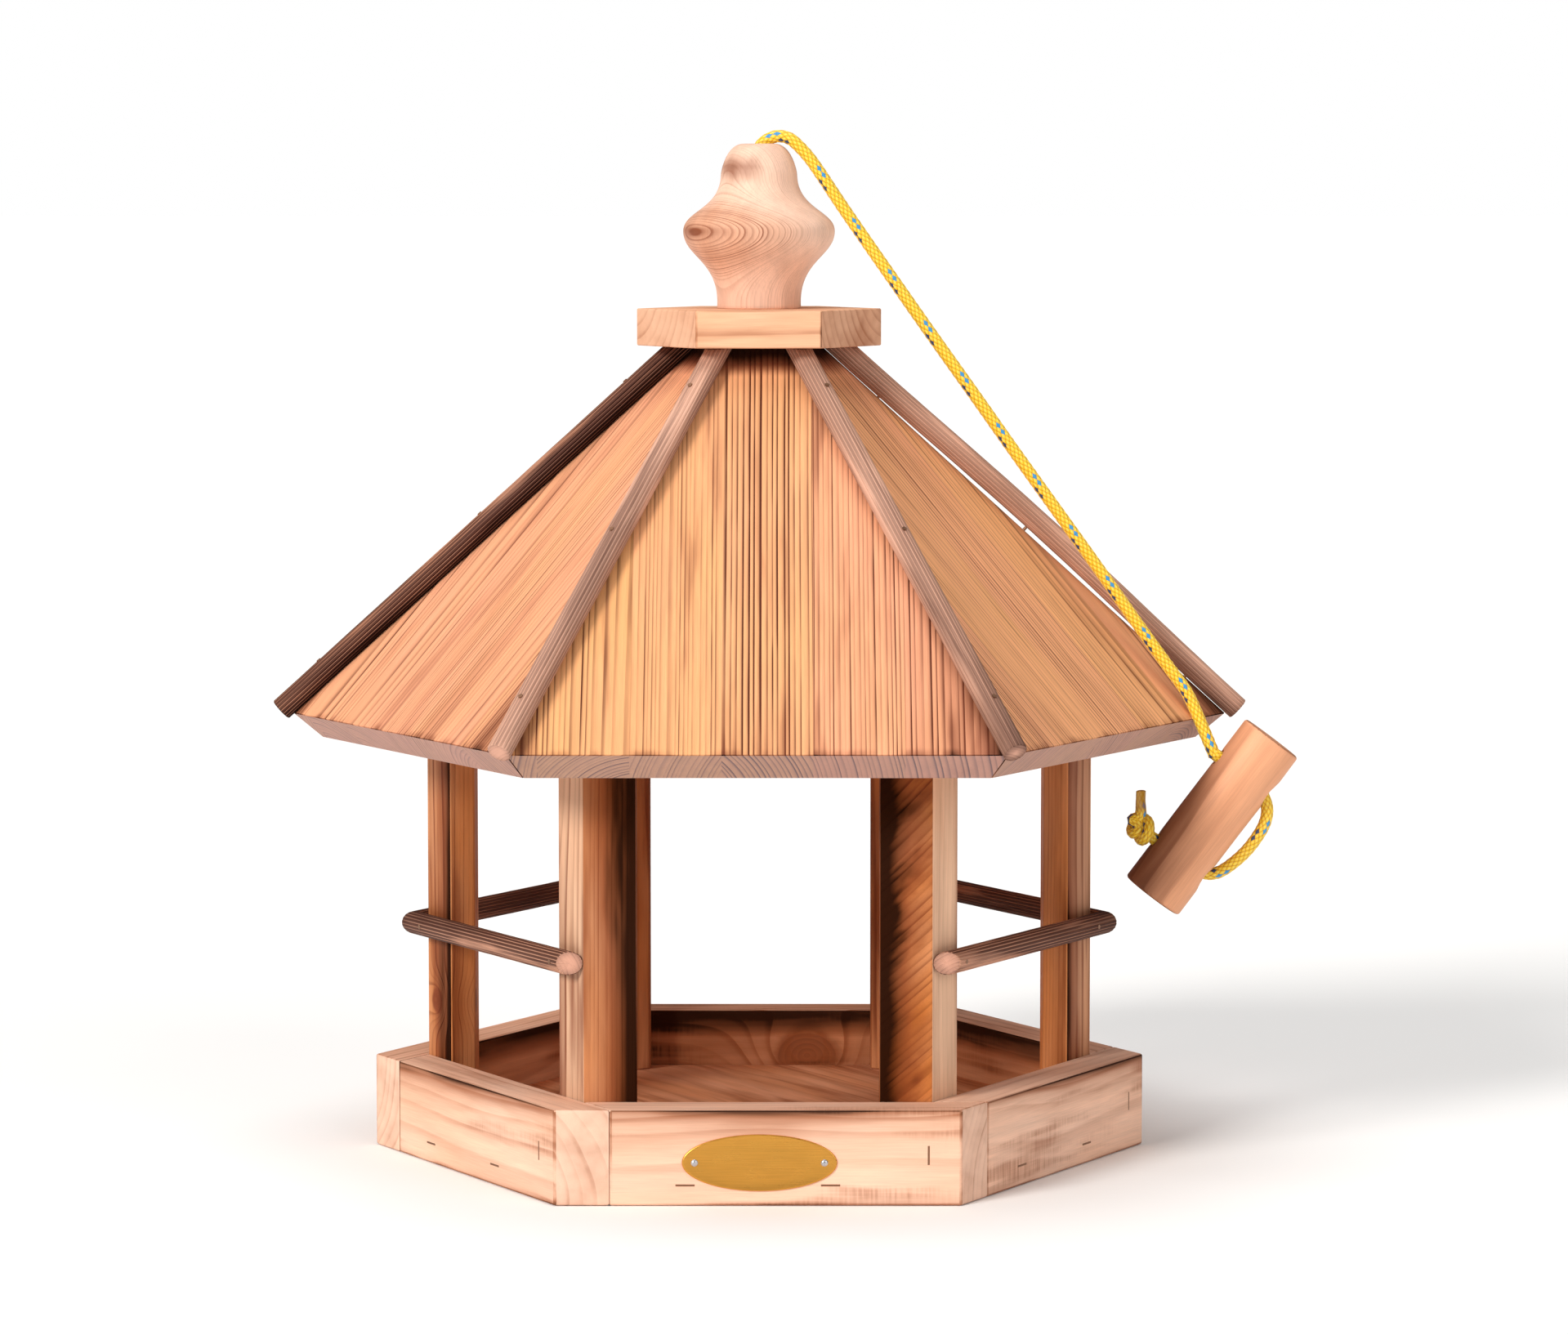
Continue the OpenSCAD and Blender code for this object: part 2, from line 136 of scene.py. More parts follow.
class Graph:
    """A material and short calls that add nodes to it."""

    def __init__(self, name):
        self.material = bpy.data.materials.new(name)
        self.material.use_nodes = True
        self.tree = self.material.node_tree
        self.tree.nodes.clear()

    def link(self, value, socket):
        """Feeds a socket from another socket or sets it to a plain value."""
        if isinstance(value, bpy.types.NodeSocket):
            self.tree.links.new(value, socket)
        elif value is not None:
            socket.default_value = value

    def node(self, kind, inputs, **settings):
        """Adds a node with its settings and with its inputs by number or name."""
        node = self.tree.nodes.new("ShaderNode" + kind)
        for name, value in settings.items():
            setattr(node, name, value)
        for key, value in inputs.items():
            self.link(value, node.inputs[key])
        return node

    def attribute(self, name, output="Vector"):
        return self.node("Attribute", {}, attribute_name=name).outputs[output]

    def split(self, vector):
        return self.node("SeparateXYZ", {0: vector}).outputs

    def join(self, x, y, z):
        return self.node("CombineXYZ", {0: x, 1: y, 2: z}).outputs[0]

    def math(self, operation, a, b=None, clamp=False):
        return self.node("Math", {0: a, 1: b}, operation=operation, use_clamp=clamp).outputs[0]

    def add(self, a, b, clamp=False):
        return self.math("ADD", a, b, clamp)

    def mul(self, a, b, clamp=False):
        return self.math("MULTIPLY", a, b, clamp)

    def ease(self, value, low, high, bottom=0.0, top=1.0):
        """Smooth step from bottom to top as value goes from low to high."""
        inputs = dict(enumerate((value, low, high, bottom, top)))
        return self.node("MapRange", inputs, interpolation_type="SMOOTHSTEP").outputs[0]

    def scale(self, vector, factors):
        return self.node("VectorMath", {0: vector, 1: factors}, operation="MULTIPLY").outputs[0]

    def noise(self, vector, scale=1.0, detail=2.0, roughness=0.5):
        inputs = {"Vector": vector, "Scale": scale, "Detail": detail, "Roughness": roughness}
        return self.node("TexNoise", inputs).outputs[0]

    def noise_1d(self, value, scale=1.0, detail=1.0):
        inputs = {"W": value, "Scale": scale, "Detail": detail}
        return self.node("TexNoise", inputs, noise_dimensions="1D").outputs[0]

    def chance(self, value):
        """Random number from 0 to 1 that stays the same for the same value."""
        return self.node("TexWhiteNoise", {"W": value}, noise_dimensions="1D").outputs[0]

    def curve(self, value, stops):
        """Value along straight stretches between (place, height) stops."""
        node = self.node("ValToRGB", {0: value})
        elements = node.color_ramp.elements
        while len(elements) < len(stops):
            elements.new(0.5)
        for element, (place, height) in zip(elements, stops):
            element.position = place
            element.color = (height, height, height, 1)
        return node.outputs[0]

    def mix(self, factor, a, b, kind="MIX"):
        """Colour a, going to colour b as factor goes from 0 to 1."""
        inputs = {0: factor, 6: a, 7: b}
        return self.node("Mix", inputs, data_type="RGBA", blend_type=kind).outputs[2]

    def tint(self, colour, low, high, factor):
        """Colour multiplied by a grey between low and high."""
        grey = self.ease(factor, 0.0, 1.0, low, high)
        return self.mix(1.0, colour, self.join(grey, grey, grey), "MULTIPLY")

    def bump(self, height, depth, strength=1.0):
        inputs = {"Height": height, "Distance": depth, "Strength": strength}
        return self.node("Bump", inputs).outputs[0]

    def finish(self, colour, roughness, specular=0.4, metallic=0.0, normal=None, **others):
        """Adds the shader and the output."""
        inputs = {"Base Color": colour, "Roughness": roughness, "Specular IOR Level": specular,
                  "Metallic": metallic, "Normal": normal}
        inputs.update((name.replace("_", " "), value) for name, value in others.items())
        shader = self.node("BsdfPrincipled", inputs)
        out = self.tree.nodes.new("ShaderNodeOutputMaterial")
        self.tree.links.new(shader.outputs[0], out.inputs["Surface"])
        return self.material


# ---- Wood ----
# Every wooden piece carries five vector attributes on its face corners:
#   rings  place in metres along the grain and from the pith (the tree's middle)
#   look   warmth of the tone, strength of the ring lines, ring spacing in millimetres
#   span   place along and across the board from -1 to 1, and how dark its edges are
#   burn   scorching, with painted shade on some pieces, flame streaks, and 1 on end grain
#   knot   place from a knot's centre in knot radii, and the knot's strength

def ring_lines(g, rings, look, knot, wave, core):
    """Dark latewood lines, share of the strongly marked zone, a knot's darkness and the
    distance from it."""
    x, y, z = g.split(rings)
    slow = g.noise(g.scale(rings, (3.2, 13, 13)), detail=1.5)
    other = g.noise(g.scale(rings, (4.1, 11, 11)), scale=1.3, detail=1.5)
    y = g.add(y, g.mul(g.add(slow, -0.5), wave))
    z = g.add(z, g.mul(g.add(other, -0.5), wave))
    radius = g.math("SQRT", g.add(g.mul(y, y), g.mul(z, z)))
    kx, ky, strength = g.split(knot)
    reach = g.math("SQRT", g.add(g.mul(kx, kx), g.mul(ky, ky)))
    lift = g.mul(g.math("EXPONENT", g.mul(g.mul(reach, reach), -0.35)), g.mul(strength, 4.5))
    phase = g.add(g.math("DIVIDE", g.mul(radius, 1000.0), g.split(look)[2]), lift)
    phase = g.add(phase, g.mul(g.noise_1d(phase, 0.31), 1.6))
    line = g.curve(g.math("FRACT", phase),
                   [(0.0, 0.03), (0.35, 0.05), (0.62, 0.25), (0.82, 0.9), (0.93, 1.0), (1.0, 0.03)])
    ring = g.math("FLOOR", phase)
    line = g.mul(line, g.ease(g.chance(ring), 0.0, 1.0, 0.35, 1.0))
    deep = None
    if core:
        deep = g.ease(radius, core[0] * MM, core[1] * MM)
        line = g.mul(line, g.ease(deep, 0.0, 1.0, 0.3, 1.25))
    broken = g.noise(g.join(g.mul(x, 14.0), g.mul(ring, 3.7), 0.0), detail=2.0)
    line = g.mul(line, g.ease(broken, 0.3, 0.62, 0.45, 1.0))
    grainy = g.add(reach, g.mul(g.noise(g.scale(rings, (140, 140, 140)), detail=2.0), 0.5))
    heart = g.mul(g.ease(grainy, 1.45, 1.05), strength, clamp=True)
    return line, deep, heart, reach


def scorch_and_shade(g, rings, span, burn_and_shade, line, marking):
    """Brown and black shares of the flame's marks, and of the painted shade that some pieces
    carry with them. marking is the strength of the fine marks square to the grain."""
    level, streaks, _ = g.split(burn_and_shade)
    u, v, edge = g.split(span)
    near = g.math("MAXIMUM", g.ease(g.math("ABSOLUTE", v), 0.78, 1.0),
                  g.ease(g.math("ABSOLUTE", u), 0.96, 1.0, 0.0, 0.6))
    patch = g.noise(g.scale(rings, (9, 60, 60)), detail=3.0, roughness=0.55)
    flame = g.noise(g.scale(rings, (8, 75, 75)), detail=3.0, roughness=0.55)
    flame = g.mul(g.ease(flame, 0.46, 0.7), streaks)
    if marking:
        marks = g.noise(g.scale(rings, (900, 60, 60)), detail=1.0)
        flame = g.mul(flame, g.ease(marks, 0.25, 0.75, 1.0 - marking, 1.0 + marking * 0.4))
    total = g.add(level, g.mul(g.mul(near, edge), g.ease(patch, 0.38, 0.62)))
    total = g.add(total, g.mul(g.add(patch, -0.5), g.mul(g.ease(level, 0.0, 0.3), 0.7)))
    total = g.add(total, flame)
    total = g.add(total, g.mul(g.mul(line, 0.16), g.ease(total, 0.05, 0.4)))
    return g.ease(total, 0.08, 0.8), g.ease(total, 0.62, 1.3)


def ribs(g, colour, rings, tone, end, brown):
    """Colour with the ribs of a dowel browned in places, and painted shade in its grooves everywhere.
    """
    ridge = g.attribute("ridge", "Fac")
    patchy = g.noise(g.scale(rings, (13, 150, 150)), detail=2.0)
    dark = g.mul(g.ease(ridge, 0.35, 0.75), g.ease(patchy, 0.3, 0.5))
    dark = g.mul(dark, g.ease(tone, 0.0, 0.7, 0.25, 1.0))
    dark = g.mul(dark, g.math("SUBTRACT", 1.0, end))
    colour = g.mix(g.mul(dark, 0.9), colour, brown)
    # Painted shade: the grooves between the ribs are darkened all along.
    return g.mix(g.mul(g.ease(ridge, 0.3, 0.0), 0.45), colour, brown)


def wood(name, early, warm, late, brown, char_and_shade, wave=0.006, relief=0.12, rough=0.62,
         end_tone=(246, 208, 184), marking=0.0, core=None, ridged=False):
    """Flame-burnt softwood with growth rings through its whole thickness. early, warm,
    late, brown, char and end_tone are display colours; relief is in millimetres; core is
    where the wood round the pith darkens, in millimetres."""
    g = Graph(name)
    rings = g.attribute("rings")
    look = g.attribute("look")
    burn_and_shade = g.attribute("burn_and_shade")
    line, deep, heart, reach = ring_lines(g, rings, look, g.attribute("knot"), wave, core)
    brown_share, black_share = scorch_and_shade(g, rings, g.attribute("span"), burn_and_shade, line, marking)
    tone, strength, _ = g.split(look)
    fibre = g.noise(g.scale(rings, (70, 2300, 2300)), detail=2.0, roughness=0.6)
    cloud = g.noise(g.scale(rings, (10, 34, 34)), detail=2.0)
    warmth = g.add(tone, g.mul(g.add(cloud, -0.5), 0.9), clamp=not core)
    if core:
        warmth = g.add(warmth, g.mul(deep, 0.6), clamp=True)
    colour = g.mix(warmth, srgb(*early), srgb(*warm))
    colour = g.tint(colour, 0.86, 1.1, g.noise(g.scale(rings, (16, 210, 210)), detail=2.0))
    colour = g.mix(g.mul(line, strength, clamp=True), colour, srgb(*late))
    knot_rings = g.math("FRACT", g.mul(g.add(reach, g.mul(cloud, 0.3)), 5.0))
    dark_knot = g.mix(knot_rings, srgb(150, 78, 44), srgb(96, 44, 24))
    colour = g.mix(g.mul(heart, 0.85), colour, dark_knot)
    colour = g.tint(colour, 0.88, 1.1, fibre)
    end = g.split(burn_and_shade)[2]
    greyed = g.mix(0.6, colour, srgb(*end_tone))
    colour = g.mix(end, colour, greyed)
    if ridged:
        colour = ribs(g, colour, rings, tone, end, srgb(*brown))
    # The brown and the charred colour also serve the painted shade that some pieces carry.
    colour = g.mix(g.mul(brown_share, 0.8), colour, srgb(*brown))
    colour = g.mix(g.mul(black_share, 0.93), colour, srgb(*char_and_shade))
    height = g.add(g.mul(line, 0.7), g.mul(fibre, 0.45))
    normal = g.bump(height, relief * MM)
    dull = g.ease(black_share, 0.0, 1.0, rough, 0.8)
    shine = g.ease(black_share, 0.0, 1.0, 0.14, 0.02)
    return g.finish(colour, dull, specular=shine, normal=normal)


def metal(name, colour, rough, brushing):
    """Metal with fine brushed lines and a slightly uneven shine."""
    g = Graph(name)
    coordinates = g.node("TexCoord", {}).outputs["Object"]
    lines = g.noise(g.scale(coordinates, brushing), detail=2.0, roughness=0.6)
    cloud = g.noise(coordinates, scale=130.0, detail=2.0)
    shade = g.tint(srgb(*colour), 0.86, 1.12, lines)
    roughness = g.ease(g.add(g.mul(lines, 0.5), g.mul(cloud, 0.5)), 0.3, 0.7, rough - 0.08, rough + 0.1)
    return g.finish(shade, roughness, specular=0.5, metallic=1.0,
                    normal=g.bump(lines, 0.02 * MM, 0.6))


# Stitches round the cord in each direction, and the length in which they go round once.
STRANDS = 8
LAY = 27 * MM


def cord_material():
    """Yellow braid with a pair of light blue and a pair of dark blue stitches in each lay."""
    g = Graph("braided_cord")
    u, v, _ = g.split(g.attribute("braid"))
    a = g.mul(g.add(u, v), float(STRANDS))
    b = g.mul(g.math("SUBTRACT", u, v), float(STRANDS))
    cell_a = g.math("FLOORED_MODULO", g.math("FLOOR", a), float(STRANDS))
    cell_b = g.math("FLOORED_MODULO", g.math("FLOOR", b), float(STRANDS))

    def stitch(i, j):
        first = g.math("COMPARE", cell_a, float(i))
        second = g.math("COMPARE", cell_b, float(j))
        first.node.inputs[2].default_value = 0.3
        second.node.inputs[2].default_value = 0.3
        return g.mul(first, second)

    across = g.math("FRACT", a)
    other = g.math("FRACT", b)
    over = g.math("FLOORED_MODULO", g.add(cell_a, cell_b), 2.0)
    plies = g.add(g.mul(across, g.math("SUBTRACT", 1.0, over)), g.mul(other, over))
    ply = g.math("SINE", g.mul(plies, 6.2832 * 4))

    def crown(share):
        return g.math("SQRT", g.mul(g.mul(share, g.math("SUBTRACT", 1.0, share)), 4.0))

    plump = g.mul(crown(across), crown(other))
    length = g.noise(g.join(g.mul(u, 60.0), g.mul(v, 40.0), 0.0), detail=3.0)
    # Painted shade: the gaps between the stitches are a darker amber.
    yellow = g.mix(g.ease(plump, 0.15, 0.65), srgb(208, 140, 0), srgb(255, 206, 0))
    # Painted highlight: pale glints on the crowns of the stitches.
    yellow = g.mix(g.mul(g.ease(plump, 0.78, 0.97), 0.55), yellow, srgb(255, 240, 120))
    colour = g.tint(yellow, 0.85, 1.1, length)
    light = g.add(stitch(0, 0), stitch(1, STRANDS - 1), clamp=True)
    dark = g.add(stitch(3, 0), stitch(4, STRANDS - 1), clamp=True)
    colour = g.mix(light, colour, srgb(52, 150, 206))
    colour = g.mix(dark, colour, srgb(24, 56, 96))
    melted = g.attribute("melted", "Fac")
    colour = g.mix(g.mul(melted, 0.8), colour, srgb(150, 92, 16))
    fine = g.mul(g.add(g.mul(ply, 0.5), length), g.math("SUBTRACT", 1.0, melted))
    return g.finish(colour, 0.36, specular=0.6, normal=g.bump(fine, 0.06 * MM),
                    Sheen_Weight=0.25)


def build_materials():
    """All finishes, by the record's slot."""
    pale = dict(brown=(150, 82, 42), char_and_shade=(34, 18, 14))
    return {
        "tray_pine": wood("tray_pine", (252, 210, 184), (232, 160, 114), (176, 104, 66),
                          wave=0.016, marking=0.28, **pale),
        "post_pine": wood("post_pine", (238, 194, 160), (210, 124, 56), (112, 52, 22),
                          (122, 50, 14), (16, 6, 4), wave=0.007),
        "roof_pine": wood("roof_pine", (238, 174, 114), (240, 166, 128), (82, 34, 14),
                          (118, 58, 36), (28, 14, 12), wave=0.0016, relief=0.25,
                          end_tone=(152, 134, 136)),
        "dowel_pine": wood("dowel_pine", (232, 184, 160), (196, 138, 108), (140, 88, 64),
                           (66, 34, 26), (26, 14, 12), wave=0.002, relief=0.08,
                           end_tone=(218, 164, 142), ridged=True),
        "cap_pine": wood("cap_pine", (252, 208, 174), (236, 164, 116), (160, 88, 54),
                         wave=0.006, end_tone=(222, 172, 142), **pale),
        "finial_wood": wood("finial_wood", (244, 204, 180), (214, 150, 114), (136, 72, 46),
                            (140, 80, 54), (60, 34, 26), wave=0.003, relief=0.05, rough=0.5,
                            end_tone=(226, 176, 150), core=(34, 48)),
        "toggle_wood": wood("toggle_wood", (240, 178, 138), (214, 136, 94), (140, 68, 36),
                            (96, 46, 26), (46, 22, 14), wave=0.004, relief=0.06, rough=0.46,
                            end_tone=(206, 140, 100)),
        "brass": metal("brass", (214, 156, 70), 0.32, (60, 60, 2600)),
        "steel": metal("steel", (196, 196, 200), 0.34, (900, 900, 900)),
        "aged_steel": metal("aged_steel", (150, 112, 88), 0.45, (900, 900, 900)),
        "cord": cord_material(),
    }


# ---- Meshes ----

def new_object(name, bm, material, smooth=True):
    """Object from a bmesh, with outward normals."""
    bmesh.ops.recalc_face_normals(bm, faces=bm.faces)
    mesh = bpy.data.meshes.new(name)
    bm.to_mesh(mesh)
    bm.free()
    return finish_object(name, mesh, material, smooth)


def finish_object(name, mesh, material, smooth=True):
    """Links a mesh as an object that shows one material."""
    mesh.materials.append(material)
    mesh.polygons.foreach_set("use_smooth", [smooth] * len(mesh.polygons))
    obj = bpy.data.objects.new(name, mesh)
    bpy.context.scene.collection.objects.link(obj)
    return obj


def eased_mesh(node, width, segments=2):
    """The CAD node's solid with flat faces joined and its edges rounded."""
    bm = bmesh.new()
    bm.from_mesh(NODES[node].data)
    bmesh.ops.remove_doubles(bm, verts=bm.verts, dist=0.005 * MM)
    bmesh.ops.dissolve_limit(bm, angle_limit=math.radians(1), verts=bm.verts, edges=bm.edges)
    sharp = [e for e in bm.edges if e.calc_face_angle(0) > math.radians(25)]
    bmesh.ops.bevel(bm, geom=sharp, offset=width, segments=segments, profile=0.5,
                    affect="EDGES", clamp_overlap=True)
    return bm


def circle(bm, around, place):
    """Ring of vertices at place(cosine, sine) of evenly spaced directions."""
    angles = [2 * math.pi * k / around for k in range(around)]
    return [bm.verts.new(place(math.cos(a), math.sin(a))) for a in angles]


def skin(bm, rings):
    """Four-sided faces between each ring of vertices and the next."""
    for lower, upper in zip(rings, rings[1:]):
        for k in range(len(lower)):
            m = (k + 1) % len(lower)
            bm.faces.new((lower[k], lower[m], upper[m], upper[k]))


def fan(bm, ring, tip):
    """Triangles between a ring of vertices and one more."""
    for k in range(len(ring)):
        bm.faces.new((ring[k], ring[(k + 1) % len(ring)], tip))


def keep_flats_flat(obj):
    """Weighted normals, so that rounded edges shade smoothly and flat faces stay flat."""
    weighted = obj.modifiers.new("flats", "WEIGHTED_NORMAL")
    weighted.keep_sharp = True
    weighted.weight = 80


def put(obj, name, values):
    """Stores a vector for each face corner."""
    layer = obj.data.attributes.new(name, "FLOAT_VECTOR", "CORNER")
    layer.data.foreach_set("vector", np.ascontiguousarray(values, np.float32).ravel())


def column(items, name, width=3, kind=float):
    """One property of all the mesh's vertices, loops or faces, a row for each."""
    values = np.empty(len(items) * width, kind)
    items.foreach_get(name, values)
    return values.reshape(-1, width)


def corners(mesh):
    """Place of each face corner, the normal of its face and the centre of its face."""
    index = column(mesh.loops, "vertex_index", 1, int)[:, 0]
    count = column(mesh.polygons, "loop_total", 1, int)[:, 0]
    face = np.repeat(np.arange(len(count)), count)
    return (column(mesh.vertices, "co")[index], column(mesh.polygons, "normal")[face],
            column(mesh.polygons, "center")[face])


def grain_wood(obj, axes, pith, seed, look, burn_and_shade, edge=0.5, knot=None, round_piece=False,
               slant=0, blunt=False):
    """Writes the wood attributes. axes are the directions along the grain, across the
    board and through it; pith is the tree's middle across and through, from the centre of
    the board. look is three numbers, or a function of the face's place across and its normal,
    which also shifts the rings across and along; burn is two numbers, or a function of
    span and normal. Those normals are along, across and through. slant, in degrees, turns
    the grain of the outer face on the clockwise side. A blunt round piece shows end grain
    on its ends."""
    place, normal, centre = corners(obj.data)
    turn = np.array([list(a) for a in axes]).T
    local = place @ turn
    low, high = local.min(0), local.max(0)
    middle = (low + high) / 2
    local = local - middle
    span = local / np.maximum((high - low) / 2, 1e-6)
    facing = normal @ turn
    side = np.abs(facing)
    across = (centre @ turn)[:, 1] - middle[1]
    count = len(local)
    rings = slant_grain(local, facing, slant) if slant else local.copy()
    rings -= np.array([0, pith[0], pith[1]])
    rings[:, 0] += seed * 1.7
    values = look(across, facing) if callable(look) else np.tile(look, (count, 1))
    if callable(look):
        rings[:, 1] += values[:, 3]
        rings[:, 0] += values[:, 4]
    level, streaks = burn_and_shade(span, facing) if callable(burn_and_shade) else burn_and_shade
    end = side[:, 0] > 0.72
    flank = side[:, 1] > 0.9
    rounded_edge = side.max(1) < 0.97
    marks = np.zeros((count, 3))
    marks[:, 0] = level
    marks[:, 1] = streaks
    marks[:, 2] = end if not round_piece or blunt else 0
    marks[:, :2] *= np.where(end, 0.25, 1)[:, None]
    if blunt:
        marks[:, 0] += np.where(end, 0.5 * np.hypot(span[:, 1], span[:, 2]) ** 2, 0)
    if not round_piece:
        marks[:, 0] += np.where(rounded_edge, edge * 0.6, 0)
    put(obj, "rings", rings)
    put(obj, "look", values[:, :3])
    put(obj, "burn_and_shade", marks)
    rim = edge * np.where(end, 0, np.where(flank, 0.25, 1))
    put(obj, "span", np.column_stack([span[:, 0], span[:, 1], rim]))
    put(obj, "knot", np.zeros((count, 3)) if knot is None else from_knot(local, *knot))


def slant_grain(local, facing, slant):
    """Places in the wood, turned by slant degrees on the outer clockwise face."""
    c, s = math.cos(math.radians(slant)), math.sin(math.radians(slant))
    aside = 120 * MM
    turned = np.column_stack([local[:, 0] * c + local[:, 1] * s,
                              local[:, 1] * c - local[:, 0] * s + aside, local[:, 2]])
    slanted = (facing[:, 1] < -0.2) & (facing[:, 2] > 0.4)
    return np.where(slanted[:, None], turned, local)


def from_knot(local, along, across, radius, strength):
    """Places in radii of a knot that is longer along the grain, with its strength."""
    stretch = 1.25
    return np.column_stack([(local[:, 0] - along) / (radius * stretch),
                            (local[:, 1] - across) / radius,
                            np.full(len(local), strength)])


def stand_in(obj, node, body):
    """obj shows in place of the CAD node and moves with the body."""
    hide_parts(node)
    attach(obj, body)
    return obj


def side_axes(azimuth):
    """Directions along, up and out of the side at an azimuth."""
    a = math.radians(azimuth)
    return Vector((-math.sin(a), math.cos(a), 0)), UP, Vector((math.cos(a), math.sin(a), 0))


# ---- Tray ----

# Tone, line strength, ring spacing in mm, pith up and out in mm, streaks, knot or None,
# and the scorching under the top edge at the left end, in the middle and at the right end.
TRAY_WOOD = {
    "front": (0.2, 0.55, 4.2, -30, -78, 0.5, None, (0.8, 0.85, 0.3)),
    "front_left": (0.25, 0.4, 4.8, -16, 44, 0.5, None, (0.9, 0.75, 0.5)),
    "front_right": (0.1, 0.5, 4.4, -30, -84, 0.5, None, (0.3, 0.6, 0.7)),
    "back": (0.55, 0.8, 4.2, -20, -56, 0.7, (-33 * MM, -1 * MM, 12 * MM, 1.0),
             (0.4, 0.4, 0.4)),
    "back_left": (0.4, 0.7, 4.0, 20, 52, 0.85, None, (0.5, 0.3, 0.5)),
    "back_right": (0.4, 0.7, 4.4, -24, 54, 0.85, None, (0.3, 0.5, 0.4)),
}


def tray_board(side, azimuth, material):
    """Board of the tray, burnt under its top edge and on its inner wall."""
    tone, lines, spacing, up, out, streaks, knot, band = TRAY_WOOD[side]
    node = "tray_board_" + side
    along, _, outward = side_axes(azimuth)

    def look(_, normal):
        inner = normal[:, 2] < -0.7
        rows = np.tile((tone, lines, spacing, 0, 0), (len(inner), 1))
        rows[:, 0] += np.where(inner, 0.5, 0)
        return rows

    def burn_and_shade(span, normal):
        inner = normal[:, 2] < -0.7
        rise = np.interp(span[:, 1], (0.1, 0.36, 0.65, 0.9, 1), (0, 0.25, 0.45, 0.75, 1))
        top = np.interp(span[:, 0], (-1, 0, 1), band) * rise
        low = 0.06 * np.clip(-span[:, 1] * 4 - 3, 0, 1)
        walls = 0.45 + 0.75 * np.clip(span[:, 1] * 2.5 - 0.9, 0, 1)
        outer = normal[:, 2] > 0.7
        level = np.where(inner, walls, np.where(outer, top + low, 0.06))
        return level, np.where(inner, 0.6, np.where(outer, streaks, 0.3))

    bm = cut_across(eased_mesh(node, 0.9 * MM), along, (-0.5, 0, 0.5))
    bm = cut_across(bm, UP, (-0.75, 0.36, 0.65, 0.9))
    obj = new_object("eased_" + node, bm, material)
    grain_wood(obj, (along, UP, outward), (up * MM, out * MM), azimuth / 60, look, burn_and_shade,
               edge=0.4, knot=knot)
    keep_flats_flat(obj)
    stand_in(obj, node, "feeder")


def cut_across(bm, direction, shares):
    """Cuts a mesh at shares, from -1 to 1, of its extent along direction."""
    extent = [v.co.dot(direction) for v in bm.verts]
    middle = (max(extent) + min(extent)) / 2
    half = (max(extent) - min(extent)) / 2
    for share in shares:
        bmesh.ops.bisect_plane(bm, geom=bm.verts[:] + bm.edges[:] + bm.faces[:],
                               plane_co=direction * (middle + share * half),
                               plane_no=direction, dist=0.001 * MM)
    return bm


def floor_board(material):
    """Floor, with its grain running off to the right at the front."""
    obj = new_object("eased_floor_board", eased_mesh("floor_board", 0.5 * MM), material)
    a = math.radians(-60)
    along = Vector((math.cos(a), math.sin(a), 0))
    grain_wood(obj, (along, UP.cross(along), UP), (20 * MM, -60 * MM), 9.3,
               (0.9, 0.45, 3.4), (0.3, 0.35), edge=0.2)
    keep_flats_flat(obj)
    stand_in(obj, "floor_board", "feeder")


# ---- Posts and perches ----

# Ring spacing in mm, pith across and out in mm and slant of the grain. Then tone, line
# strength and scorching of the outer face on the clockwise side, of the outer face on the
# other side, and of the rest.
POST_WOOD = {
    "left": (2.2, 44, 26, 0, (0.5, 0.6, 0.4), (0.7, 0.9, 0.95), (0.85, 0.3, 0.12)),
    "front_left": (2.2, -44, 30, 0, (0.1, 0.9, 0.12), (0.75, 0.25, 1.05), (0.8, 0.5, 0.95)),
    "front_right": (3.4, 26, -20, 50, (0.9, 0.7, 1.2), (0.0, 0.1, 0.0), (0.8, 0.5, 0.9)),
    "right": (2.2, -46, 34, 0, (0.5, 1.5, 0.7), (0.5, 0.6, 0.4), (0.85, 0.3, 0.05)),
    "back_right": (3.0, 30, 30, 0, (0.6, 0.7, 0.5), (0.5, 0.7, 0.5), (0.8, 0.5, 0.4)),
    "back_left": (2.6, -30, 26, 0, (0.5, 0.7, 0.5), (0.6, 0.7, 0.5), (0.8, 0.5, 0.4)),
}


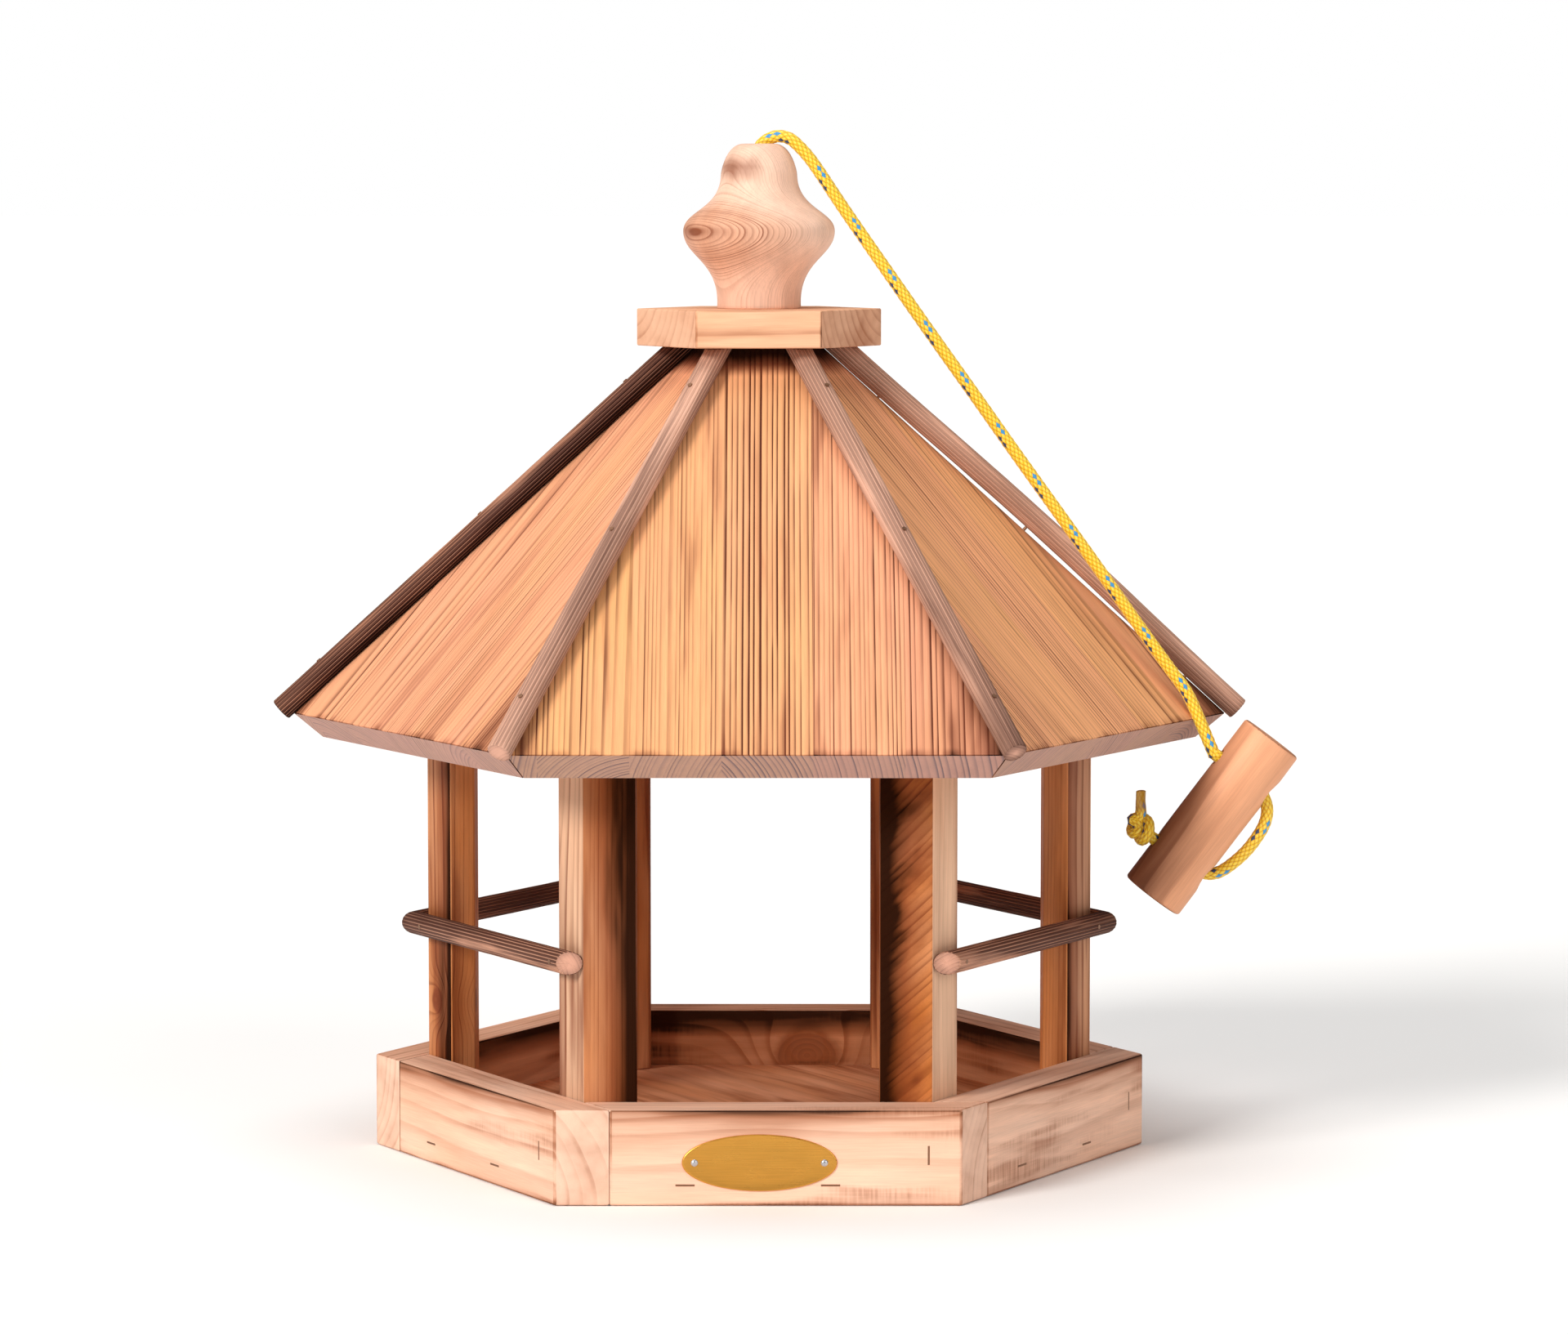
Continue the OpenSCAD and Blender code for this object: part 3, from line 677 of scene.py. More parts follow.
def post(corner, azimuth, material):
    """Upright post, with its two outer faces burnt each in its own way."""
    spacing, across, out, slant, first, second, rest = POST_WOOD[corner]
    node = "post_" + corner
    along, _, outward = side_axes(azimuth)

    def face(normal):
        outer = normal[:, 2] > 0.5
        table = np.array([first, second, rest])
        return table[np.where(outer, np.where(normal[:, 1] < 0, 0, 1), 2)], outer

    def look(_, normal):
        values, _ = face(normal)
        zeros = np.zeros(len(values))
        return np.column_stack([values[:, 0], values[:, 1], zeros + spacing, zeros, zeros])

    def burn_and_shade(span, normal):
        values, outer = face(normal)
        streaks = np.where(values[:, 2] < 0.1, 0.06, 0.4)
        wide = np.where(outer & (values[:, 2] > 1), 0.16, 0)
        return wide + values[:, 2] * np.where(outer, np.abs(span[:, 1]) ** 1.8, 0.8), streaks

    bm = cut_across(eased_mesh(node, 0.8 * MM), along, (-0.85, -0.65, -0.4, 0.4, 0.65, 0.85))
    obj = new_object("eased_" + node, bm, material)
    knot = (-62 * MM, 8 * MM, 4.5 * MM, 1.0) if corner == "left" else None
    grain_wood(obj, (UP, along, outward), (across * MM, out * MM), 3 + azimuth / 60,
               look, burn_and_shade, edge=0.3, knot=knot, slant=slant)
    keep_flats_flat(obj)
    stand_in(obj, node, "feeder")


def line_meets(point, direction, cut):
    """Distance along a line to a plane, given by a point on it and its normal."""
    place, normal = cut
    return (place - point).dot(normal) / direction.dot(normal)


# Tone, scorching, its rise towards the upper or clockwise-most end, and the painted shade
# on the side turned to the ground.
DOWEL_WOOD = {
    "hip_batten_left": (0.95, 0.1, 0.1, 1.25),
    "hip_batten_front_left": (0.32, -0.05, 0.0, 0.1),
    "hip_batten_front_right": (0.35, 0.12, -0.4, 0.1),
    "hip_batten_right": (0.3, 0.0, 0.0, 0.1),
    "hip_batten_back_right": (0.5, 0.1, -0.2, 0.3),
    "hip_batten_back_left": (0.5, 0.05, 0.2, 0.3),
    "perch_front_left": (0.7, 0.1, -0.25, 0.2),
    "perch_front_right": (0.8, 0.12, 0.3, 0.3),
    "perch_back_right": (0.9, 0.2, 0.0, 0.4),
    "perch_back_left": (0.9, 0.2, 0.0, 0.4),
}


def dowel(node, start, direction, radius, cuts, seed, material, lift=None):
    """Ribbed round rod between two cutting planes. It has narrow lengthwise grooves,
    worn shallow in places."""
    ribs, per_rib, rows = 20, 8, 90
    depth, chamfer = 0.36 * MM, 0.35 * MM
    side = direction.cross(Vector((0.3, 0.5, 0.8))).normalized()
    other = direction.cross(side)
    n = ribs * per_rib
    bm = bmesh.new()
    ridge = bm.verts.layers.float.new("ridge")

    def ring(shrink, t_of):
        verts = []
        for k in range(n):
            angle = 2 * math.pi * k / n
            spoke = math.cos(angle) * side + math.sin(angle) * other
            groove = (0.5 + 0.5 * math.cos(ribs * angle)) ** 5
            edge = start + spoke * radius
            t = t_of(edge)
            worn = 0.5 + 0.9 * noise.noise(Vector((math.cos(angle), math.sin(angle), t * 22 + seed)))
            cut = depth * groove * min(max(worn + 0.35, 0.25), 1)
            hollow = 0.1 * MM * noise.noise(Vector((angle * 1.5, t * 60, seed)))
            place = start + direction * t + spoke * (radius - shrink - cut - abs(hollow))
            if lift is not None:
                place += lift(t)
            v = bm.verts.new(place)
            v[ridge] = 1 - groove
            verts.append(v)
        return verts

    def between(f, inset):
        def t_of(edge):
            low = line_meets(edge, direction, cuts[0]) + inset
            high = line_meets(edge, direction, cuts[1]) - inset
            return low + (high - low) * f
        return t_of

    loops = [ring(chamfer, between(0, 0))]
    loops += [ring(0, between(i / rows, chamfer)) for i in range(rows + 1)]
    loops += [ring(chamfer, between(1, 0))]
    skin(bm, loops)
    for loop in (loops[0], loops[-1]):
        centre = bm.verts.new(sum((v.co for v in loop), Vector()) / n)
        centre[ridge] = 0.6
        fan(bm, loop, centre)
    obj = new_object("ribbed_" + node, bm, material)
    tone, level, rise, under = DOWEL_WOOD[node]
    down = np.array([-direction.z, -side.z, -other.z])

    def burn_and_shade(span, normal):
        # Painted shade on the side turned to the ground, darkest on the left batten.
        return level + rise * span[:, 0] + under * np.clip(normal @ down + 0.2, 0, 1), 0.45

    grain_wood(obj, (direction, side, other), (9 * MM, 14 * MM), seed,
               (tone, 0.35, 1.5), burn_and_shade, edge=0.0, round_piece=True, blunt=True)
    sharpen_ends(obj, direction)
    return obj


def sharpen_ends(obj, direction):
    """Marks the rims of end faces as sharp, so that they shade flat."""
    mesh = obj.data
    flat = [abs(p.normal.dot(direction)) > 0.4 and p.loop_total == 3 for p in mesh.polygons]
    ends = {key for p, f in zip(mesh.polygons, flat) if f for key in p.edge_keys}
    sides = {key for p, f in zip(mesh.polygons, flat) if not f for key in p.edge_keys}
    for edge in mesh.edges:
        edge.use_edge_sharp = edge.key in ends and edge.key in sides


def perch(side, azimuth, material):
    """Perch on one side, cut flush with the posts at one end and mitred at the other."""
    node = "perch_" + side
    along, _, outward = side_axes(azimuth)
    low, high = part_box(node)
    radius = (high.z - low.z) / 2
    flat_y = low.y if abs(low.y) > abs(high.y) else high.y
    tray_inner = abs(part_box("tray_board_front")[1].y)
    centre = outward * (tray_inner + radius) + UP * (low.z + high.z) / 2
    planes = [(Vector((0, 0, 0)), Vector((0, 1, 0))), (Vector((0, flat_y, 0)), Vector((0, 1, 0)))]
    planes.sort(key=lambda cut: line_meets(centre, along, cut))
    obj = dowel(node, centre, along, radius, planes, 5 + azimuth / 50, material)
    stand_in(obj, node, "feeder")


# ---- Roof ----

# Width of a stave, and how far the joints lie from the panel's middle in stave widths.
STAVE = 37.3 * MM
STAVE_SHIFT = 0.61
# For each panel, from its left edge to its right as seen from outside: tone, line
# strength, ring spacing in mm of each stave, and the panel's scorching.
ROOF_WOOD = {
    "front": ([(0.2, 1.4, 1.9), (0.2, 1.3, 1.72), (0.3, 1.0, 2.0), (0.4, 2.2, 2.1),
               (0.8, 1.2, 2.0), (1.0, 1.8, 2.8)], 0.3),
    "front_left": ([(0.8, 1.2, 2.6), (0.9, 1.1, 2.2), (0.9, 0.7, 2.4), (0.8, 0.9, 2.0),
                    (0.9, 0.6, 2.2), (0.7, 1.2, 2.2)], 0.2),
    "front_right": ([(0.5, 1.1, 1.9), (0.6, 1.0, 1.8), (0.4, 0.7, 2.4), (0.6, 1.2, 2.0),
                     (0.3, 0.8, 2.2), (0.5, 1.1, 1.9)], 0.15),
    "back": ([(0.4, 1.1, 2.2), (0.3, 0.9, 2.0), (0.6, 1.3, 2.6), (0.3, 0.8, 2.2),
              (0.5, 1.1, 1.9), (0.7, 1.0, 2.8)], 0.25),
    "back_left": ([(0.6, 0.9, 2.6), (0.5, 1.2, 2.1), (0.7, 0.7, 2.4), (0.4, 1.3, 2.0),
                   (0.6, 0.9, 2.7), (0.5, 1.0, 2.2)], 0.2),
    "back_right": ([(0.3, 1.0, 2.0), (0.5, 0.8, 2.5), (0.4, 1.4, 2.2), (0.2, 0.9, 1.9),
                    (0.4, 1.2, 2.4), (0.3, 0.9, 2.1)], 0.18),
}


def roof_panel(side, azimuth, material):
    """Panel glued from staves, with the grain up the slope."""
    node = "roof_panel_" + side
    across, _, outward = side_axes(azimuth)
    bm = eased_mesh(node, 0.35 * MM, 1)
    top = max(bm.faces, key=lambda f: f.calc_area() if f.normal.dot(outward) > 0.2 else 0)
    through = top.normal.copy()
    up_slope = through.cross(across).normalized()
    up_slope = up_slope if up_slope.z > 0 else -up_slope
    bm = cut_across(bm, up_slope, (-0.5, 0, 0.78, 0.86, 0.93))
    for k in range(-3, 2):
        bmesh.ops.bisect_plane(bm, geom=bm.verts[:] + bm.edges[:] + bm.faces[:],
                               plane_co=across * (k + STAVE_SHIFT) * STAVE, plane_no=across,
                               dist=0.001 * MM)
    staves, scorching = ROOF_WOOD[side]
    rng = random.Random(azimuth)
    shifts = [(rng.choice((-1, 1)) * rng.uniform(45, 90) * MM, rng.uniform(0, 9)) for _ in staves]

    def look(place, _):
        index = np.clip(np.floor(place / STAVE - STAVE_SHIFT).astype(int) + 4, 0, 5)
        return np.array([staves[i] + shifts[i] for i in index])

    def burn_and_shade(span, _):
        low_end = np.clip(-span[:, 0] * 0.9, 0, 1)
        right = np.clip(span[:, 1] * 2 - 0.9, 0, 1)
        # Painted shadow of the cap, with some scorching: the top of the panel under the cap goes dark.
        cap_shadow_and_scorch = np.clip((span[:, 0] - 0.78) * 6, 0, 1)
        return scorching * 0.35 + 0.55 * low_end * right + 1.6 * cap_shadow_and_scorch, scorching + 0.12

    obj = new_object("jointed_" + node, bm, material)
    grain_wood(obj, (up_slope, across, through), (0, -26 * MM), azimuth / 25, look, burn_and_shade,
               edge=0.6)
    keep_flats_flat(obj)
    stand_in(obj, node, "feeder")
    return through


def hip_batten(corner, azimuth, material):
    """Ribbed batten on a hip: square at the eave, level under the cap."""
    node = "hip_batten_" + corner
    cad = NODES[node].data
    _, _, outward = side_axes(azimuth)
    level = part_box("cap_board")[0].z
    places = [v.co for v in cad.vertices]
    low_end = [p for p in places if p.dot(outward) > max(q.dot(outward) for q in places) - 8 * MM]
    foot = sum(low_end, Vector()) / len(low_end)
    slope = batten_direction(places, outward, foot)
    radius = batten_radius(places, foot, slope)
    cuts = [(foot, slope), (Vector((0, 0, level)), UP)]
    length = (level - foot.z) / slope.z
    square = slope.cross(UP.cross(outward)).normalized()
    square = square if square.z > 0 else -square

    def lift(t):
        """The right batten bows off its hip, the others are pressed a little into theirs."""
        f = min(max(t / length, 0), 1)
        bow = 1.5 * math.sin(math.pi * f) ** 2 if corner == "right" else -0.45
        return square * bow * MM

    obj = dowel(node, foot, slope, radius, cuts, 11 + azimuth / 43, material, lift)
    stand_in(obj, node, "feeder")


def batten_direction(places, outward, foot):
    """Direction up a batten, from its foot to the middle of its upper end."""
    top = max(p.z for p in places)
    upper = [p for p in places if p.z > top - 0.01 * MM]
    inner = min(p.dot(outward) for p in upper)
    outer = max(p.dot(outward) for p in upper)
    return (outward * (inner + outer) / 2 + UP * top - foot).normalized()


def batten_radius(places, foot, slope):
    """Radius of a batten, from the places on its square end."""
    return max((p - foot - slope * (p - foot).dot(slope)).length for p in places
               if (p - foot).dot(slope) < 1 * MM)


# ---- Cap and finial ----

def cap_board(material):
    """Six-sided board under the finial, with painted shade on the sides facing right."""
    obj = new_object("eased_cap_board", eased_mesh("cap_board", 0.6 * MM), material)

    def burn_and_shade(_, normal):
        # Painted shade: the sides facing right, away from the key light, are darkened.
        right = (normal[:, 0] > 0.7) * 0.46
        return right, np.full(len(right), 0.35)

    grain_wood(obj, (Vector((1, 0, 0)), Vector((0, 1, 0)), UP), (8 * MM, 20 * MM), 21.3,
               (0.4, 0.6, 4.2), burn_and_shade, edge=0.35)
    keep_flats_flat(obj)
    stand_in(obj, "cap_board", "feeder")


def bezier(points, t):
    """Point on the cubic curve with four control points."""
    a, b, c, d = (np.array(p) for p in points)
    return (1 - t) ** 3 * a + 3 * (1 - t) ** 2 * t * b + 3 * (1 - t) * t * t * c + t ** 3 * d


def finial(material):
    """Turned knob with a foot, a bead, a neck and a rounded top, bored for the cord."""
    low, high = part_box("finial")
    height = high.z - low.z
    bead_r = (high.x - low.x) / 2
    foot_r, neck_r, top_r, bore_r = 18.2 * MM, 16.5 * MM, 6.6 * MM, 4.5 * MM
    flare, lip = 9 * MM, 0.8 * MM
    bead_z, neck_z = height * 0.47, height * 0.817
    rise = neck_z - bead_z
    parts = [
        [(foot_r, 0), (foot_r - 1.6 * MM, bead_z * 0.62), (bead_r, bead_z * 0.66),
         (bead_r, bead_z)],
        [(bead_r, bead_z), (bead_r, bead_z + rise * 0.36), (neck_r, bead_z + rise * 0.38),
         (neck_r, neck_z)],
        [(neck_r, neck_z), (neck_r - 1 * MM, neck_z + (height - neck_z) * 0.45),
         (neck_r - 4 * MM, height), (top_r, height)],
    ]
    outline = [(bore_r, 0.0), (foot_r - 0.5 * MM, 0.0), (foot_r - 0.05 * MM, 0.5 * MM)]
    for part in parts:
        outline += [tuple(bezier(part, t)) for t in np.linspace(0.03, 0.99, 26)]
    outline += [(top_r, height), (top_r - lip, height - lip * 0.5)]
    outline += [(bore_r + 0.3 * MM, height - flare * 0.8), (bore_r, height - flare)]
    obj = new_object("turned_finial", lathe(outline, low.z, 128), material)

    def burn_and_shade(span, normal):
        left = np.clip(normal[:, 2] * 1.2 - 0.2, 0, 1)
        neck = np.clip(1 - np.abs(span[:, 0] - 0.72) * 4, 0, 1)
        bead = np.clip(1 - np.abs(span[:, 0] + 0.05) * 4, 0, 1)
        return 0.75 * left * neck + 0.55 * left ** 3 * bead, 0.12

    grain_wood(obj, (UP, side_axes(214)[0], side_axes(214)[2]), (0, -20 * MM), 2.2,
               (0.05, 1.15, 0.85), burn_and_shade, edge=0.0, round_piece=True)
    stand_in(obj, "finial", "feeder")


def lathe(outline, base, around):
    """Solid of revolution about the Z axis of a closed outline of radii and heights."""
    bm = bmesh.new()
    rings = [circle(bm, around, lambda c, s: (radius * c, radius * s, base + height))
             for radius, height in outline]
    skin(bm, rings + rings[:1])
    return bm


# ---- Name plate and fasteners ----

def name_plate(material):
    """Plain oval plate with a rolled rim and faintly domed middle."""
    low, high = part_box("name_plate")
    centre = (low + high) / 2
    half_w, half_h, thick = (high.x - low.x) / 2, (high.z - low.z) / 2, high.y - low.y
    # Shares of the half sizes and of the thickness, from the back's rim to the middle.
    profile = [(1.0, 0.0), (1.0, 0.55), (0.992, 0.85), (0.975, 1.0), (0.95, 0.93), (0.6, 0.95),
               (0.25, 0.97)]
    bm = bmesh.new()
    back = bm.verts.new((centre.x, high.y, centre.z))
    front = bm.verts.new((centre.x, high.y - thick * profile[-1][1], centre.z))
    rings = [circle(bm, 128, lambda c, s: (centre.x + half_w * share * c, high.y - thick * level,
                                           centre.z + half_h * share * s))
             for share, level in profile]
    skin(bm, rings)
    fan(bm, rings[0], back)
    fan(bm, rings[-1], front)
    obj = new_object("oval_plate", bm, material)
    obj.data.set_sharp_from_angle(angle=math.radians(50))
    stand_in(obj, "name_plate", "feeder")


def plate_pins(material):
    """Two pins with domed heads."""
    low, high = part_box("plate_pins")
    head_r = (high.z - low.z) / 2
    plate_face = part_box("name_plate")[0].y
    head_h = plate_face - low.y
    z = (low.z + high.z) / 2
    # Shares of the head's radius and height, from near its top to the shank.
    outline = [(0.45, 0.93), (0.8, 0.62), (1.0, 0.12), (0.98, 0.0), (0.55, 0.0)]
    bm = bmesh.new()
    for x in (low.x + head_r, high.x - head_r):
        rings = [circle(bm, 32, lambda c, s: (x + head_r * share * c, plate_face - head_h * level,
                                              z + head_r * share * s))
                 for share, level in outline]
        rings.append([bm.verts.new((v.co.x, high.y, v.co.z)) for v in rings[-1]])
        skin(bm, rings)
        fan(bm, rings[0], bm.verts.new((x, low.y, z)))
        bm.faces.new(rings[-1])
    obj = new_object("domed_plate_pins", bm, material)
    obj.data.set_sharp_from_angle(angle=math.radians(50))
    stand_in(obj, "plate_pins", "feeder")


def staples(node, material):
    """Staples with softened wire edges."""
    obj = new_object("wire_" + node, eased_mesh(node, 0.14 * MM), material)
    keep_flats_flat(obj)
    stand_in(obj, node, "feeder")


def give_finish(node, material):
    """A CAD node that is shown as it is, with a better material."""
    obj = NODES[node]
    obj.data.materials.clear()
    obj.data.materials.append(material)


# ---- Cord and toggle ----

CORD_D = 5.5 * MM
# Points in millimetres, from the finial's bore over the roof to the toggle.
CORD_ROUTE = [
    (-1.5, 0, 415), (-1.5, 0, 424), (-1.1, 0, 432),
    (0.5, -0.1, 435.8), (3.2, -0.4, 438.4), (6.5, -0.9, 439.9), (9.4, -1.3, 440.2),
    (12.4, -1.7, 439.5), (15.3, -2.2, 437.7), (20.8, -2.9, 432), (26, -3.7, 424.9),
    (38, -5.3, 407), (56, -7.9, 381.2), (74, -10.4, 355.6), (92, -12.9, 330.4),
    (110, -15.5, 305), (128, -18, 280), (146, -20.5, 255), (162, -22.8, 232.4),
    (176, -24.7, 213), (184, -25.9, 202), (188.4, -26.6, 193), (191.4, -27.1, 186),
    (194.7, -27.9, 178.2), (195.7, -28, 175.8), (196.4, -28, 174.2),
]
BORE_ROUTE = [(0, 0, 346), (-0.6, 0, 372), (-1.3, 0, 400), (-1.5, 0, 414.6)]
TOGGLE_MID = Vector((0.1954, -0.028, 0.1476))
TOGGLE_UP = Vector((0.6, 0, 0.8))
TOGGLE_OUT = Vector((0.8, 0, -0.6))
TOGGLE_R = 14.25 * MM
TOGGLE_HALF = 42.75 * MM
# Distance of each cross hole from the toggle's middle, in millimetres.
HOLE_S = 22.5
KNOT_SIZE = 7.2 * MM
# Points along and across the toggle, in millimetres.
LOOP_ROUTE = [
    (HOLE_S, -16.25), (HOLE_S, -8), (HOLE_S, 2), (HOLE_S - 0.6, 8), (HOLE_S - 2.5, 13.2),
    (HOLE_S - 6, 17.4), (HOLE_S - 11.5, 20), (3.8, 20.9), (-3.5, 20.7), (11.8 - HOLE_S, 19.3),
    (5.5 - HOLE_S, 17), (1.7 - HOLE_S, 13.2), (0.3 - HOLE_S, 8), (-HOLE_S, 2), (-HOLE_S, -8),
    (-HOLE_S, -14.95),
]


def smooth_path(points, step):
    """Points a step apart along the smooth curve through the given ones."""
    p = [np.array(q, float) for q in points]
    dense = []
    for i in range(len(p) - 1):
        a, b, c, d = p[max(i - 1, 0)], p[i], p[i + 1], p[min(i + 2, len(p) - 1)]
        for k in range(24):
            t = k / 24
            dense.append(0.5 * (2 * b + t * (c - a) + t * t * (2 * a - 5 * b + 4 * c - d)
                                + t ** 3 * (3 * b - a - 3 * c + d)))
    dense = np.array(dense + [p[-1]])
    travel = np.concatenate([[0], np.cumsum(np.linalg.norm(np.diff(dense, axis=0), axis=1))])
    count = max(int(round(travel[-1] / step)), 2)
    wanted = np.linspace(0, travel[-1], count + 1)
    return np.column_stack([np.interp(wanted, travel, dense[:, i]) for i in range(3)]), wanted


def transport_frames(path):
    """Two directions square to the path at each point, turning as little as they can."""
    tangents = np.gradient(path, axis=0)
    tangents /= np.linalg.norm(tangents, axis=1)[:, None]
    side = np.cross(tangents[0], (0, 1, 0.01))
    sides = []
    for t in tangents:
        side = side - t * side.dot(t)
        side = side / np.linalg.norm(side)
        sides.append(side)
    sides = np.array(sides)
    return sides, np.cross(tangents, sides), tangents


def stitch_height(u, v):
    """Height from 0 to 1 of the braid's plump stitches."""
    a, b = STRANDS * (u + v), STRANDS * (u - v)
    over_a = (np.floor(a) + np.floor(b)) % 2 < 0.5
    fa, fb = a - np.floor(a), b - np.floor(b)
    across = np.where(over_a, fa, fb)
    along = np.where(over_a, fb, fa)
    return np.sqrt(4 * across * (1 - across)) * (0.5 + 0.5 * np.sqrt(4 * along * (1 - along)))


def braid(name, points, material, turn=0.0, radius=CORD_D / 2, flat=None, melt=None):
    """Braided cord as a closed mesh along points. flat(f) gives the widths across and
    through as shares of the radius, and melt(f) how far its stitches have melted."""
    around, step, relief = 64, 0.42 * MM, 0.42 * MM
    path, travel = smooth_path(points, step)
    sides, others, tangents = transport_frames(path)
    rows = len(path)
    f = travel / travel[-1]
    u = np.tile(np.arange(around) / around, (rows, 1))
    v = np.tile((travel / LAY)[:, None], (1, around))
    melted = np.array([melt(x) for x in f])[:, None] if melt else np.zeros((rows, 1))
    height = stitch_height(u + turn, v) * (1 - melted) + 0.8 * melted
    r = radius - relief + relief * height
    shape = np.array([flat(x) for x in f]) if flat else np.ones((rows, 2))
    angle = 2 * np.pi * u
    co = (path[:, None, :] + (r * np.cos(angle) * shape[:, :1])[:, :, None] * sides[:, None, :]
          + (r * np.sin(angle) * shape[:, 1:])[:, :, None] * others[:, None, :])
    verts = co.reshape(-1, 3).tolist()
    faces = []
    for i in range(rows - 1):
        for k in range(around):
            m = (k + 1) % around
            faces.append((i * around + k, i * around + m, (i + 1) * around + m,
                          (i + 1) * around + k))
    for row, push in ((0, -1), (rows - 1, 1)):
        base = len(verts)
        rim = co[row]
        centre = path[row] + tangents[row] * push * 0.5 * MM
        verts += (path[row] + (rim - path[row]) * 0.6 + tangents[row] * push * 0.4 * MM).tolist()
        verts.append(centre.tolist())
        for k in range(around):
            m = (k + 1) % around
            faces.append((row * around + k, row * around + m, base + m, base + k))
            faces.append((base + k, base + m, base + around))
    mesh = bpy.data.meshes.new(name)
    mesh.from_pydata(verts, [], faces)
    obj = finish_object(name, mesh, material)
    paint_braid(obj, rows, around, travel, turn, melted[:, 0])
    bm = bmesh.new()
    bm.from_mesh(mesh)
    bmesh.ops.recalc_face_normals(bm, faces=bm.faces)
    bm.to_mesh(mesh)
    bm.free()
    return obj, path, travel[-1]


def paint_braid(obj, rows, around, travel, turn, melted):
    """Stores the place round and along the cord at each face corner."""
    mesh = obj.data
    values = np.zeros((len(mesh.loops), 3), np.float32)
    soft = np.zeros(len(mesh.vertices), np.float32)
    soft[:rows * around] = np.repeat(melted, around)
    soft[rows * around:] = 1
    for p in mesh.polygons:
        ks = [mesh.loops[i].vertex_index % around for i in p.loop_indices]
        wrap = max(ks) - min(ks) > around / 2
        for i, k in zip(p.loop_indices, ks):
            row = min(mesh.loops[i].vertex_index // around, rows - 1)
            u = (k + around if wrap and k < around / 2 else k) / around
            values[i] = (u + turn, travel[row] / LAY, 0)
    put(obj, "braid", values)
    layer = mesh.attributes.new("melted", "FLOAT", "POINT")
    layer.data.foreach_set("value", soft)


def on_toggle(s, w):
    """Point along and across the toggle, in metres from its middle."""
    return TOGGLE_MID + TOGGLE_UP * s + TOGGLE_OUT * w


def knot_route(entry, axis, tail_end, size):
    """Route of an overhand knot: out along axis from entry, round itself and off to the tail."""
    side = axis.cross(Vector((0.2, 1, 0.1))).normalized()
    other = axis.cross(side)
    centre = entry + axis * size * 1.05
    route = [entry - axis * 1.2 * MM, entry + axis * size * 0.35]
    turns, steps = 1.7, 15
    for k in range(steps + 1):
        f = k / steps
        angle = 2 * math.pi * turns * f - 0.6
        swell = math.sin(math.pi * min(max(f * 1.15 + 0.1, 0), 1)) ** 0.35
        reach = size * 0.62 * max(swell, 0.25)
        lean = size * (0.42 - 0.9 * f + 0.3 * math.sin(angle))
        route.append(centre + (side * math.cos(angle) + other * math.sin(angle)) * reach
                     - axis * lean)
    tail = (tail_end - centre).normalized()
    route.append(centre + tail * size * 0.75)
    route.append(centre + (tail_end - centre) * 0.72)
    route.append(tail_end)
    return route


def add_cord(material):
    """The cord from the finial's mouth to the toggle, and its stretch inside the bore."""
    bore, _, _ = braid("cord_in_bore", [Vector(p) * MM for p in BORE_ROUTE], material)
    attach(bore, "feeder")
    route = [Vector(p) * MM for p in CORD_ROUTE]
    cord, path, length = braid("braided_cord", route, material, turn=-0.096)
    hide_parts("cord")
    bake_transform(cord)
    return cord, path, length, bore


def add_loop(material):
    """The cord through the toggle's two holes."""
    route = [on_toggle(s * MM, w * MM) for s, w in LOOP_ROUTE]
    loop, _, _ = braid("braided_loop", route, material, turn=0.4)
    return stand_in(loop, "cord_loop", "toggle")


def add_knot(name, node, body, entry, axis, tail_end, material, flat_tail):
    """An overhand knot with its melted tail."""
    route = knot_route(entry, axis, tail_end, KNOT_SIZE)

    def flat(f):
        g = min(max((f - 0.86) / 0.08, 0), 1) if flat_tail else 0
        return 1 + 0.12 * g, 1 - 0.5 * g

    def melt(f):
        return min(max((f - 0.84) / 0.05, 0), 1) * 0.9

    knot, _, _ = braid(name, route, material, turn=0.3, radius=CORD_D * 0.47, flat=flat, melt=melt)
    return stand_in(knot, node, body)


